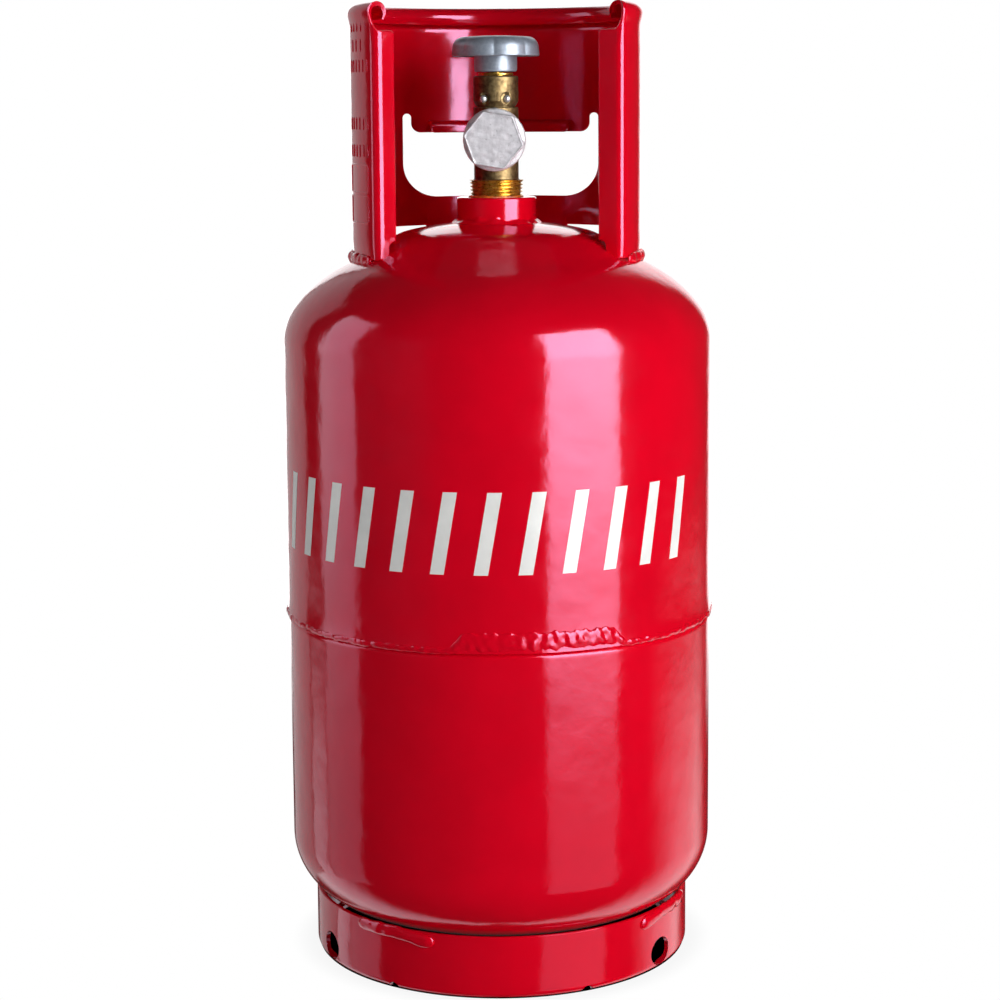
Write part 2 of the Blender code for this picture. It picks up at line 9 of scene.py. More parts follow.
import bmesh
import bpy
import numpy as np
from bpy.props import FloatProperty, FloatVectorProperty, IntProperty, PointerProperty
from mathutils import Matrix, Vector


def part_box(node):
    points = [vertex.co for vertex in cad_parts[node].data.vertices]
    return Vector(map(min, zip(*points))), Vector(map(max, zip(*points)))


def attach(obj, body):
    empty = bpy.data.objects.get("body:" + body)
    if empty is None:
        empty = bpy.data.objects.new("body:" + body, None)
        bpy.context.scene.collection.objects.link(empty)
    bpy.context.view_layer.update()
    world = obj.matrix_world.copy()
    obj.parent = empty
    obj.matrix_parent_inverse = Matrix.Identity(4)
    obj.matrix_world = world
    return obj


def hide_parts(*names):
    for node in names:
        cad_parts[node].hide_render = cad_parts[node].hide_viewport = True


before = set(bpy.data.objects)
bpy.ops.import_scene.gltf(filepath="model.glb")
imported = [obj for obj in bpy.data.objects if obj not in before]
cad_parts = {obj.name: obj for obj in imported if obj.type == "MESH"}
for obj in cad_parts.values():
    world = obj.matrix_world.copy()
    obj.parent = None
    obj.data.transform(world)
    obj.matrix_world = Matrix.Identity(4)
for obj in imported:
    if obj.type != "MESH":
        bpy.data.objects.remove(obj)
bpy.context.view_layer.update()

bl_info = {
    "name": "Propane Cylinder Looks",
    "version": (1, 0, 0),
    "blender": (4, 5, 0),
    "location": "View3D > Sidebar > Cylinder",
    "description": "Builds the finished surfaces and finishes of a welded gas cylinder",
    "category": "Add Mesh",
}

MM = 0.001

# Places read from the frame
SHELL_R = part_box("upper_shell")[1].x
SEAM_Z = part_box("upper_shell")[0].z
LOWER_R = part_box("lower_shell")[1].x
LOWER_Z = (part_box("lower_shell")[0].z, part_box("lower_shell")[1].z)
BEAD_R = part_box("girth_weld")[1].x
FOOT_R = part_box("foot_ring")[1].x
FOOT_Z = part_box("foot_ring")[1].z
BOSS_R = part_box("neck_boss")[1].x
BOSS_Z = (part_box("neck_boss")[0].z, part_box("neck_boss")[1].z)
GUARD_Z = (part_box("valve_guard")[0].z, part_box("valve_guard")[1].z)
SLEEVE_Z = (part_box("gland_sleeve")[0].z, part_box("gland_sleeve")[1].z)
BUSH_Z = (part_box("gland_bush")[0].z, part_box("gland_bush")[1].z)
BODY_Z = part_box("valve_body")[0].z
WHEEL_Z = (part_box("handwheel")[0].z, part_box("handwheel")[1].z)
WASHER_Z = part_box("wheel_washer")[0].z
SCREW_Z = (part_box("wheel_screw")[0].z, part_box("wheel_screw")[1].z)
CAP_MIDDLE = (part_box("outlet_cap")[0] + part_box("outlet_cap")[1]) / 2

# Vessel
WALL = 2.2 * MM
GAP = 0.3 * MM
HEAD_H = 57.0 * MM           # half height of the upper head's ellipse
HOLE_R = BOSS_R + GAP
CROWN_RISE = 4.6 * MM         # the middle of the upper head stands above the ellipse
CROWN_SPAN = (46.0 * MM, 76.0 * MM)
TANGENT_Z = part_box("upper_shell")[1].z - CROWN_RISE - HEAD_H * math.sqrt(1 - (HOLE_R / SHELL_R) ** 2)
BASE_H = 47.0 * MM
KNUCKLE_R = 34.5 * MM
FLARE = 0.9 * MM             # the upper shell opens a little at its lip
VENT_R = 7.25 * MM
VENT_Z = 8.6 * MM
VENT_STRETCH = 1.2
VENT_ANGLES = (-64.0, 56.0, 176.0)
DRAIN_R = 3.2 * MM
FOOT_WELDS = (-34.0, 60.0, 150.0, -124.0)
FOOT_WELD_SPAN = 27.0
RIPPLE_PITCH = 1.8 * MM

# Guard
GUARD_R = 74.7 * MM
SHEET = 2.0 * MM
BEND_R = 3.0 * MM
FRONT_ANGLES = (-54.0, 58.0)
TIP_R = (62.6 * MM, 60.6 * MM)
CURL_R = 4.6 * MM            # to the middle of the sheet
CURL_TURN = 225.0
CURL_BULGE = 1.2 * MM
FLANGE_Z = (374.4 * MM, 478.9 * MM)
SCALLOP = (4.4 * MM, 3.4 * MM)  # reach and drop of the cut under each flange
BAND_Z = 377.4 * MM
FOOT_END = 100.0
REAR_FOOT = (150.0, 166.0)
WINDOW_X = (-50.0 * MM, 54.5 * MM)
WINDOW_Z = (392.9 * MM, 427.4 * MM)
WINDOW_CORNER = 18.0 * MM
NOTCH_TOP = 437.5 * MM
NOTCH_W = 4.3 * MM
EAR_R = 5.0 * MM
HEM_SPAN = (146.0, 210.5)

# Valve
VALVE_TURN = -2.0
THREAD_R = 13.9 * MM
THREAD_TOP = 403.8 * MM
TAPER = 0.06
PITCH = 25.4 * MM / 14
COLUMN_R = 11.5 * MM
COLUMN_TOP = SLEEVE_Z[0] - GAP
CHAMBER_R = 7.5 * MM
SEAT_Z = 416.0 * MM
SEAT_R = 4.0 * MM
OUTLET_Z = CAP_MIDDLE.z
OUTLET_R = 10.6 * MM
OUTLET_END = 38.0 * MM
NECK_R = 9.7 * MM
PIN_X = 6.0 * MM
PIN_Z = 445.0 * MM
PIN_R = 1.2 * MM
STEM_R = 3.8 * MM
O_RINGS = (448.8 * MM, 452.2 * MM)
WHEEL_R = 23.0 * MM
HUB_R = 11.0 * MM
RECESS_R = 6.2 * MM
RECESS_Z = WASHER_Z - GAP
CAP_FLATS = 27.0 * MM
CAP_START = 24.0 * MM
CAP_END = 42.0 * MM
CAP_TURN = -10.0


# ---------------------------------------------------------------- shapes

def lumps(points, size, seed, waves=18):
    """A smooth field of about -1 to 1: the sum of plane waves with seeded directions and phases.

    Their wavelengths run from one and a half to three times the lump size.
    """
    rng = np.random.default_rng(seed)
    ways = rng.normal(size=(waves, 3))
    ways /= np.linalg.norm(ways, axis=1)[:, None] * rng.uniform(1.5, 3.0, waves)[:, None] * size
    phases = rng.uniform(0.0, 2 * np.pi, waves)
    return np.sin(2 * np.pi * (points @ ways.T) + phases).sum(-1) / math.sqrt(waves)


def step(value, low, high):
    """The smooth step 3x^2 - 2x^3 from 0 at low to 1 at high."""
    share = np.clip((value - low) / (high - low), 0.0, 1.0)
    return share * share * (3.0 - 2.0 * share)


def around(radius, degrees, z):
    """Points at x = r sin a, y = -r cos a, z."""
    turn = np.radians(degrees)
    radius, turn, z = np.broadcast_arrays(radius, turn, z)
    return np.stack([radius * np.sin(turn), -radius * np.cos(turn), z], -1)


def arc(centre, radius, start, end, steps=12):
    """Points (across, up) on a circle from start to end degrees, from the first axis."""
    turn = np.radians(np.linspace(start, end, steps + 1))
    return np.column_stack([centre[0] + radius * np.cos(turn), centre[1] + radius * np.sin(turn)])


def dense(points, gap):
    """The same outline with straight stretches split so that no part is longer than gap."""
    points = np.asarray(points, float)
    lengths = np.linalg.norm(np.diff(points, axis=0), axis=1)
    counts = np.maximum(1, np.ceil(lengths / gap).astype(int))
    parts = [np.linspace(a, b, n, endpoint=False) for a, b, n in zip(points, points[1:], counts)]
    return np.vstack(parts + [points[-1:]])


def grid_mesh(name, points, wrap_rows=True, wrap_columns=True):
    """Quads over the grid points[row, column], closed on itself in each wrapped direction."""
    rows, columns = points.shape[:2]
    index = np.arange(rows * columns).reshape(rows, columns)
    if wrap_rows:
        index = np.vstack([index, index[:1]])
    if wrap_columns:
        index = np.hstack([index, index[:, :1]])
    corners = [index[:-1, :-1], index[:-1, 1:], index[1:, 1:], index[1:, :-1]]
    mesh = bpy.data.meshes.new(name)
    mesh.from_pydata(points.reshape(-1, 3), [], np.stack(corners, -1).reshape(-1, 4))
    return mesh


def turned(name, profile, columns=192, wrap=True):
    """A surface of revolution: each (radius, height) of the profile carried round Z."""
    profile = np.asarray(profile, float)
    degrees = np.linspace(0.0, 360.0, columns, endpoint=False)
    return grid_mesh(name, around(profile[:, 0], degrees[:, None], profile[:, 1]), True, wrap)


def forwards(points, z):
    """Turns points made along +Z so that they lie along -Y at height z."""
    return np.stack([points[..., 0], -points[..., 2], points[..., 1] + z], -1)


def rod(radius, start, end, columns=48):
    """A closed rod along +Z, as a grid whose first and last columns shrink to points."""
    profile = np.array([(0.0, start), (radius, start), (radius, end), (0.0, end)])
    degrees = np.linspace(0.0, 360.0, columns, endpoint=False)
    return around(profile[:, 0], degrees[:, None], profile[:, 1])


def tidy_mesh(mesh):
    """Welds doubled points, closes poles and turns every face outwards."""
    shape = bmesh.new()
    shape.from_mesh(mesh)
    bmesh.ops.remove_doubles(shape, verts=shape.verts, dist=0.002 * MM)
    bmesh.ops.dissolve_degenerate(shape, edges=shape.edges, dist=0.0001 * MM)
    bmesh.ops.recalc_face_normals(shape, faces=shape.faces)
    if shape.calc_volume(signed=True) < 0.0:
        bmesh.ops.reverse_faces(shape, faces=shape.faces)
    shape.to_mesh(mesh)
    shape.free()
    return mesh


def cut(mesh, cutters):
    """Takes closed cutter meshes out of a mesh with exact Booleans and gives the new mesh."""
    scene = bpy.context.scene
    body = bpy.data.objects.new("cut_body", tidy_mesh(mesh))
    scene.collection.objects.link(body)
    helpers = []
    for cutter in cutters:
        helper = bpy.data.objects.new("cutter", tidy_mesh(cutter))
        scene.collection.objects.link(helper)
        modifier = body.modifiers.new("cut", "BOOLEAN")
        modifier.operation = "DIFFERENCE"
        modifier.object = helper
        helpers.append(helper)
    depsgraph = bpy.context.evaluated_depsgraph_get()
    made = bpy.data.meshes.new_from_object(body.evaluated_get(depsgraph))
    for helper in [body, *helpers]:
        bpy.data.objects.remove(helper)
    return made


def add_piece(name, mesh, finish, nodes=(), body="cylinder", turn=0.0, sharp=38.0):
    """Links a finished mesh in place, gives it its material and lets it ride on its body."""
    tidy_mesh(mesh)
    mesh.transform(Matrix.Rotation(math.radians(turn), 4, "Z"))
    mesh.name = name
    mesh.materials.clear()
    mesh.materials.append(finish)
    mesh.shade_smooth()
    mesh.set_sharp_from_angle(angle=math.radians(sharp))
    piece = bpy.data.objects.new(name, mesh)
    bpy.context.scene.collection.objects.link(piece)
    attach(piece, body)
    if nodes:
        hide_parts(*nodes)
    return piece


def head_z(radius, inset=0.0):
    """Height of the upper head at a radius: an ellipse, smaller by the inset, with a raised crown."""
    share = np.minimum(radius / (SHELL_R - inset), 1.0)
    ellipse = TANGENT_Z + (HEAD_H - inset) * np.sqrt(1.0 - share * share)
    return ellipse + CROWN_RISE * (1.0 - step(radius, *CROWN_SPAN))


def base_profile(inset, steps):
    """The lower head from its rim to its middle: a knuckle arc that meets a crown arc."""
    reach = LOWER_R - KNUCKLE_R
    depth = BASE_H - inset
    knuckle = KNUCKLE_R - inset
    crown = (reach**2 + depth**2 - knuckle**2) / (2 * (depth - knuckle))
    slope = math.degrees(math.atan2(reach, crown - depth))
    tangent = LOWER_Z[0] + BASE_H
    rim = arc((reach, tangent), knuckle, 0.0, slope - 90.0, steps)
    dish = arc((0.0, tangent - depth + crown), crown, slope - 90.0, -90.0, steps * 2)
    return np.vstack([rim, dish[1:]])


def weld(name, centre, size, span=None, seed=1, lump=0.25 * MM, ripple=0.08 * MM, rows=20, spacing=3.0 * MM):
    """A weld run round the axis: an oval of half sizes size about centre, both (radius, height).

    centre and size are functions of the share 0 to 1 along the run. Ripples follow each other
    RIPPLE_PITCH apart and lumps about spacing across are added. An open run closes at its ends
    like half a ball.
    """
    closed = span is None
    start, end = (0.0, 360.0) if closed else span
    length = math.radians(abs(end - start)) * float(centre(0.5)[0])
    count = max(24, int(length / (0.6 * MM)))
    share = np.linspace(0.0, 1.0, count, endpoint=not closed)[:, None]
    degrees = start + (end - start) * share
    middle_r, middle_z = centre(share)
    half_r, half_z = size(share)
    close = np.ones_like(share)
    if not closed:
        reach = np.minimum(share, 1.0 - share) * length
        cap = 1.5 * np.max(np.broadcast_to(half_z, share.shape))
        close = np.sqrt(1.0 - (1.0 - np.minimum(reach, cap) / cap) ** 2)
    oval = np.radians(np.linspace(0.0, 360.0, rows, endpoint=False))
    across, up = np.cos(oval), np.sin(oval)
    base = around(middle_r + half_r * across, degrees, middle_z + half_z * up)
    crescent = np.sin(2 * np.pi * (share * length + 0.5 * half_z * up) / RIPPLE_PITCH)
    swell = lump * lumps(base, spacing, seed) + ripple * crescent
    radius = middle_r + close * (half_r * across + swell * across)
    radius = np.minimum(radius, BEAD_R - 0.03 * MM)
    height = middle_z + close * (half_z * up + swell * up)
    return grid_mesh(name, around(radius, degrees, height), closed, True)


def straight(*pair):
    """A centre or size that is the same all along a weld."""
    return lambda share: (pair[0] + 0.0 * share, pair[1] + 0.0 * share)


# ---------------------------------------------------------------- materials

def linear(code):
    """sRGB hex to linear red, green, blue and alpha."""
    parts = [int(code[i:i + 2], 16) / 255 for i in (1, 3, 5)]
    return (*[c / 12.92 if c <= 0.04045 else ((c + 0.055) / 1.055) ** 2.4 for c in parts], 1.0)


def add_node(tree, kind, values=None, links=None, **settings):
    """Adds a node with its settings, its unlinked input values and its incoming links."""
    made = tree.nodes.new(kind)
    for key, value in settings.items():
        setattr(made, key, value)
    for socket, value in (values or {}).items():
        made.inputs[socket].default_value = value
    for socket, source in (links or {}).items():
        tree.links.new(source, made.inputs[socket])
    return made


def new_finish(name, colour, roughness, metallic=0.0):
    """A Principled material, its tree and shader, and the Object coordinates it reads."""
    material = bpy.data.materials.new(name)
    material.use_nodes = True
    tree = material.node_tree
    shader = tree.nodes["Principled BSDF"]
    shader.inputs["Base Color"].default_value = colour
    shader.inputs["Roughness"].default_value = roughness
    shader.inputs["Metallic"].default_value = metallic
    place = add_node(tree, "ShaderNodeTexCoord").outputs["Object"]
    return material, tree, shader, place


def mottle(tree, shader, place, colours, size, detail=3.0, reach=(0.35, 0.65)):
    """Colour that drifts between two tones over patches of a size in metres."""
    noise = add_node(tree, "ShaderNodeTexNoise", {"Scale": 1 / size, "Detail": detail},
                     {"Vector": place})
    ramp = add_node(tree, "ShaderNodeValToRGB", links={"Fac": noise.outputs["Fac"]})
    for stop, position, colour in zip(ramp.color_ramp.elements, reach, colours):
        stop.position = position
        stop.color = colour
    tree.links.new(ramp.outputs["Color"], shader.inputs["Base Color"])
    return ramp.outputs["Color"]


def bumps(tree, shader, place, layers):
    """Stacked noise bumps. Each layer is (size, height), both in metres."""
    links = {}
    for size, height in layers:
        noise = add_node(tree, "ShaderNodeTexNoise", {"Scale": 1 / size, "Detail": 2.0},
                         {"Vector": place})
        bump = add_node(tree, "ShaderNodeBump", {"Strength": 1.0, "Distance": height},
                        {"Height": noise.outputs["Fac"], **links})
        links = {"Normal": bump.outputs["Normal"]}
    tree.links.new(bump.outputs["Normal"], shader.inputs["Normal"])


def vary_roughness(tree, shader, place, size, low, high):
    """Roughness that drifts between two values over patches of a size in metres."""
    noise = add_node(tree, "ShaderNodeTexNoise", {"Scale": 1 / size, "Detail": 3.0},
                     {"Vector": place})
    spread = add_node(tree, "ShaderNodeMapRange",
                      {"From Min": 0.3, "From Max": 0.7, "To Min": low, "To Max": high},
                      {"Value": noise.outputs["Fac"]})
    tree.links.new(spread.outputs["Result"], shader.inputs["Roughness"])


def red_enamel(paint):
    """Sprayed gloss enamel: orange peel a couple of millimetres across breaks up reflections."""
    red = (*paint.red, 1.0)
    dull = (paint.red[0] * 0.92, paint.red[1], paint.red[2] * 0.9, 1.0)
    material, tree, shader, place = new_finish("sprayed_red_enamel", red, paint.gloss)
    shader.inputs["Specular Tint"].default_value = (1.0, 0.58, 0.95, 1.0)  # a pink cast in its sheen
    mottle(tree, shader, place, (dull, red), 35 * MM)
    vary_roughness(tree, shader, place, 9 * MM, paint.gloss * 0.8, paint.gloss * 1.35)
    bumps(tree, shader, place, ((26 * MM, 0.5 * MM * paint.peel), (2.4 * MM, 0.04 * MM * paint.peel)))
    return material


def white_enamel(paint):
    """White enamel sprayed through a stencil over the red: duller, with the same orange peel."""
    white = (*paint.white, 1.0)
    shade = (*[0.93 * part for part in paint.white], 1.0)
    material, tree, shader, place = new_finish("stencilled_white_enamel", white, 0.3)
    mottle(tree, shader, place, (shade, white), 12 * MM)
    bumps(tree, shader, place, ((2.4 * MM, 0.05 * MM),))
    return material


def bronze_forging(_paint):
    """Hot forged brass left as it cooled: brown oxide, satin, with fine scale pits."""
    material, tree, shader, place = new_finish("oxidised_forged_brass", linear("#6A583C"), 0.5, 1.0)
    mottle(tree, shader, place, (linear("#4A3B27"), linear("#83714F")), 2.2 * MM, 5.0, (0.3, 0.72))
    vary_roughness(tree, shader, place, 1.5 * MM, 0.42, 0.58)
    bumps(tree, shader, place, ((4 * MM, 0.12 * MM), (0.9 * MM, 0.06 * MM)))
    return material


def machined_brass(_paint):
    """Freshly cut brass: bright yellow, with turning lines too fine to show but for their sheen."""
    material, tree, shader, place = new_finish("machined_yellow_brass", linear("#BE9742"), 0.34, 0.9)
    mottle(tree, shader, place, (linear("#A97F2E"), linear("#CFAA5A")), 3 * MM)
    vary_roughness(tree, shader, place, 0.8 * MM, 0.24, 0.36)
    bumps(tree, shader, place, ((0.7 * MM, 0.006 * MM),))
    return material


def cast_zinc(_paint):
    """Die cast zinc: pale matt grey skin with painted shade in pore holes: dark specks about a millimetre
    apart.
    """
    material, tree, shader, place = new_finish("die_cast_zinc", linear("#BDBCC2"), 0.5, 0.15)
    skin = mottle(tree, shader, place, (linear("#B1B0B6"), linear("#CAC9CE")), 3 * MM, 6.0)
    # painted shade: the base colour darkens in specks that stand for the shade inside pore holes
    pore_shade_noise = add_node(tree, "ShaderNodeTexNoise", {"Scale": 1 / (0.9 * MM), "Detail": 4.0},
                     {"Vector": place})
    dark = add_node(tree, "ShaderNodeMapRange", {"From Min": 0.64, "From Max": 0.74},
                    {"Value": pore_shade_noise.outputs["Fac"]})
    blend = add_node(tree, "ShaderNodeMix", {7: linear("#77737A")},
                     {0: dark.outputs["Result"], 6: skin}, data_type="RGBA")
    tree.links.new(blend.outputs[2], shader.inputs["Base Color"])
    vary_roughness(tree, shader, place, 2 * MM, 0.42, 0.6)
    bumps(tree, shader, place, ((3 * MM, 0.04 * MM), (0.7 * MM, 0.03 * MM)))
    return material


def grey_enamel(_paint):
    """Grey metallic stoving enamel on a moulded handwheel: satin, slightly blue, soft lumps."""
    material, tree, shader, place = new_finish("grey_stoving_enamel", linear("#8B95A3"), 0.36, 0.3)
    mottle(tree, shader, place, (linear("#858F9D"), linear("#919BA8")), 1.4 * MM, 5.0)
    vary_roughness(tree, shader, place, 2 * MM, 0.34, 0.44)
    bumps(tree, shader, place, ((5 * MM, 0.06 * MM), (0.9 * MM, 0.015 * MM)))
    return material


def zinc_plate(_paint):
    """Bright zinc plated steel: cool silver, nearly a mirror, with a faint grain."""
    material, tree, shader, place = new_finish("zinc_plated_steel", linear("#CDD3DA"), 0.26, 0.6)
    mottle(tree, shader, place, (linear("#BCC2CA"), linear("#DDE1E6")), 0.9 * MM)
    vary_roughness(tree, shader, place, 0.6 * MM, 0.2, 0.32)
    bumps(tree, shader, place, ((0.5 * MM, 0.01 * MM),))
    return material


def seal_rubber(_paint):
    """Moulded nitrile rubber: black and matt, with a faint bloom."""
    material, tree, shader, place = new_finish("nitrile_rubber", linear("#1B1B1C"), 0.6)
    mottle(tree, shader, place, (linear("#161617"), linear("#252526")), 2 * MM)
    bumps(tree, shader, place, ((0.6 * MM, 0.02 * MM),))
    return material


def seat_nylon(_paint):
    """Turned natural nylon: ivory and waxy."""
    material, tree, shader, place = new_finish("natural_nylon", linear("#E2DCCB"), 0.42)
    mottle(tree, shader, place, (linear("#D9D2BF"), linear("#E8E3D4")), 2 * MM)
    bumps(tree, shader, place, ((0.6 * MM, 0.015 * MM),))
    return material


def thread_paste(_paint):
    """Anaerobic pipe sealant squeezed out and set: orange, uneven, a little shiny."""
    material, tree, shader, place = new_finish("set_orange_sealant", linear("#D9581A"), 0.35)
    mottle(tree, shader, place, (linear("#B8400F"), linear("#F08A2A")), 1.6 * MM, 4.0)
    bumps(tree, shader, place, ((1.1 * MM, 0.15 * MM),))
    return material


MAKERS = {
    "red_enamel": red_enamel,
    "white_enamel": white_enamel,
    "forged_brass": bronze_forging,
    "turned_brass": machined_brass,
    "plated_steel": zinc_plate,
    "grey_enamel": grey_enamel,
    "cast_zinc": cast_zinc,
    "seal_rubber": seal_rubber,
    "seat_nylon": seat_nylon,
    "thread_compound": thread_paste,
}


def finish(name):
    """The material made for a finish, made the first time that it is asked for."""
    key = "finish_" + name
    if key not in bpy.context.scene:
        bpy.context.scene[key] = MAKERS[name](bpy.context.scene.cylinder_paint)
    return bpy.context.scene[key]


# ---------------------------------------------------------------- vessel

def upper_shell_mesh():
    """Cylinder and elliptical head with an open neck, its lip flared by a fading exponential."""
    rise = dense([(SHELL_R, SEAM_Z), (SHELL_R, TANGENT_Z)], 2.5 * MM)[:-1]
    rise[:, 0] += FLARE * np.exp((SEAM_Z - rise[:, 1]) / (5 * MM))
    last = math.degrees(math.acos(HOLE_R / SHELL_R))
    share = np.cos(np.radians(np.linspace(0.0, last, 90)))
    dome = np.column_stack([SHELL_R * share, head_z(SHELL_R * share)])
    within = SHELL_R - WALL
    hidden = np.maximum(within * share[::-6], HOLE_R)
    under = np.column_stack([hidden, head_z(hidden, WALL)])
    lip = np.array([(within, SEAM_Z), (SHELL_R + FLARE - 0.5 * MM, SEAM_Z - 0.4 * MM)])
    return turned("upper_shell_skin", np.vstack([rise, dome, under, lip]), 240)


def lower_shell_mesh():
    """Rim set inside the upper shell, a swage below the lip, the wall and the dished bottom."""
    inside = SHELL_R - WALL - GAP
    swage = [(inside, LOWER_Z[1]), (inside, SEAM_Z + 1 * MM)]
    easing = np.linspace(0.0, 1.0, 12)
    drop = SEAM_Z + 1 * MM - easing * 4 * MM
    out = inside + (LOWER_R - inside) * easing * easing * (3 - 2 * easing)
    tangent = LOWER_Z[0] + BASE_H
    wall = dense([(LOWER_R, drop[-1] - 1 * MM), (LOWER_R, tangent + 1 * MM)], 3 * MM)
    bottom = base_profile(0.0, 24)
    within = base_profile(WALL, 6)[::-1]
    back = [(LOWER_R - WALL, SEAM_Z - 8 * MM), (inside - WALL, SEAM_Z - 2 * MM), (inside - WALL, LOWER_Z[1])]
    outline = np.vstack([swage, np.column_stack([out, drop])[1:], wall, bottom, within, back])
    return turned("lower_shell_skin", outline, 240)


def girth_bead_mesh(settings):
    """Lap weld at the lip. Where its ends overlap it is a broad lumpy patch between two angles."""
    low, high = settings.overlap_start, settings.overlap_end

    def patch(share):
        degrees = (share * 360.0 + 180.0) % 360.0 - 180.0
        return step(degrees, low - 3.5, low + 2.5) * (1.0 - step(degrees, high - 3.0, high + 1.5))

    def centre(share):
        return SHELL_R + 0.1 * MM + 0.0 * share, SEAM_Z + 0.9 * MM + 4.4 * MM * patch(share)

    def size(share):
        ragged = 0.35 * np.sin(356.0 * share) + 0.3 * np.sin(827.0 * share + 1.0)
        tall = 1.7 * MM + (3.0 + ragged) * MM * patch(share)
        return 0.95 * MM + 0.1 * MM * patch(share), tall

    return weld("girth_bead", centre, size, None, 3, 0.24 * MM, 0.05 * MM, 40, 2.2 * MM)


class CYLINDER_OT_vessel(bpy.types.Operator):
    """Makes the two drawn shells and the weld that joins them"""

    bl_idname = "cylinder.vessel"
    bl_label = "Vessel"

    def execute(self, context):
        red = finish("red_enamel")
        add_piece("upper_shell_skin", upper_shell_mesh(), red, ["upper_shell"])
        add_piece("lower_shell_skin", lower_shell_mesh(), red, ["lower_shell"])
        bead = girth_bead_mesh(context.scene.cylinder_welds)
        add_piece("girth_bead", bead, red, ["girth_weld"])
        return {"FINISHED"}


# ---------------------------------------------------------------- foot ring

def foot_ring_mesh():
    """Rolled strip with its foot curled inwards, pierced by vents and by drain notches."""
    inside = FOOT_R - WALL
    roll = arc((FOOT_R - 3.2 * MM, 3.2 * MM), 3.2 * MM, 0.0, -90.0, 8)
    inner_roll = [(inside - 1.8 * MM, 0.0), (inside - 1.8 * MM, 1.9 * MM), (inside, 4.2 * MM)]
    outline = np.vstack([
        dense([(FOOT_R, FOOT_Z - 0.4 * MM), (FOOT_R, 3.2 * MM)], 1.6 * MM),
        roll[1:],
        inner_roll,
        dense([(inside, 4.2 * MM), (inside, FOOT_Z - 0.4 * MM)], 1.6 * MM)[1:],
        [(inside + 0.4 * MM, FOOT_Z), (FOOT_R - 0.4 * MM, FOOT_Z)],
    ])
    cutters = []
    for angle in VENT_ANGLES:
        cutters.append(radial_hole("vent", VENT_R, angle, VENT_Z, VENT_STRETCH))
    for i in range(6):
        angle = VENT_ANGLES[0] + 30.0 + 60.0 * i
        cutters.append(radial_hole("drain", DRAIN_R, angle, -0.2 * MM, 1.0))
    return cut(turned("foot_ring_skin", outline, 360), cutters)


def radial_hole(name, radius, angle, z, stretch):
    """A rod along a radius of the foot ring, through its wall, stretched sideways."""
    points = forwards(rod(radius, FOOT_R - 8 * MM, FOOT_R + 4 * MM), z)
    points[..., 0] *= stretch
    mesh = grid_mesh(name, points, True, False)
    mesh.transform(Matrix.Rotation(math.radians(angle), 4, "Z"))
    return mesh


def foot_bead_mesh(name, middle, span, drop, seed):
    """A glossy run over the ring's top edge that sags by drop towards the front of the ring."""
    inner = 1.0 if middle < 0.0 else 0.0

    def sag(share):
        return step(np.abs(share - 1.0 + inner), 0.55, 1.0)

    def centre(share):
        return FOOT_R - 0.1 * MM + 0.2 * MM * sag(share), FOOT_Z - 2.4 * MM - drop * sag(share)

    def size(share):
        return 1.7 * MM + 0.2 * MM * sag(share), 3.3 * MM + 0.5 * MM * sag(share)

    ends = (middle - span / 2, middle + span / 2)
    return weld(name, centre, size, ends, seed, 0.16 * MM, 0.02 * MM)


class CYLINDER_OT_foot(bpy.types.Operator):
    """Makes the foot ring and the four weld runs that hold it"""

    bl_idname = "cylinder.foot"
    bl_label = "Foot ring"

    def execute(self, context):
        red = finish("red_enamel")
        drop = context.scene.cylinder_welds.foot_drop
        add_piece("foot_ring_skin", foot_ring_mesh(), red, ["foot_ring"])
        for i, middle in enumerate(FOOT_WELDS, 1):
            name = f"foot_bead_{i}"
            mesh = foot_bead_mesh(name, middle, FOOT_WELD_SPAN + i, drop, 10 + i)
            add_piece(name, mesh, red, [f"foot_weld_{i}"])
        return {"FINISHED"}


# ---------------------------------------------------------------- neck

def boss_mesh():
    """Turned steel boss with a rounded top edge and the bore that the valve screws into."""
    def bore(z):
        return THREAD_R - (THREAD_TOP - z) * TAPER + GAP

    low, high = BOSS_Z
    rim = arc((BOSS_R - 1.1 * MM, high - 1.1 * MM), 1.1 * MM, 0.0, 90.0, 8)
    outline = np.vstack([[(bore(low), low), (BOSS_R, low)], rim, [(bore(high), high)]])
    return turned("neck_boss_skin", dense(outline, 2.0 * MM), 144)


def neck_bead_mesh():
    """Two rounds of fillet weld that flare from the boss on to the head, with lumps."""
    base = head_z(BOSS_R + 3 * MM)
    columns, rows = 260, 40
    degrees = np.linspace(0.0, 360.0, columns, endpoint=False)[:, None]
    fall = np.linspace(0.0, 1.0, rows)
    radius = BOSS_R - 0.6 * MM + 5.2 * MM * fall**1.7
    height = base - 1.2 * MM + 6.6 * MM * (1.0 - fall) ** 1.3
    waist = 0.55 * MM * np.sin(fall * 2 * np.pi * 1.5 + 0.6)
    points = around(radius + waist * fall * (1 - fall) * 3, degrees, height)
    swell = 0.35 * MM * lumps(points, 3.5 * MM, 21)[..., None] * np.sin(np.pi * fall)[:, None]
    outwards = around(1.0, degrees + 0 * fall, 0.0 * fall + 0.6)
    points = points + swell * outwards
    under = around(np.array([BOSS_R + 4.0 * MM, BOSS_R - 1.6 * MM]), degrees,
                   np.array([base - 3.2 * MM, base - 1.2 * MM]))
    return grid_mesh("neck_bead", np.concatenate([points, under], 1))


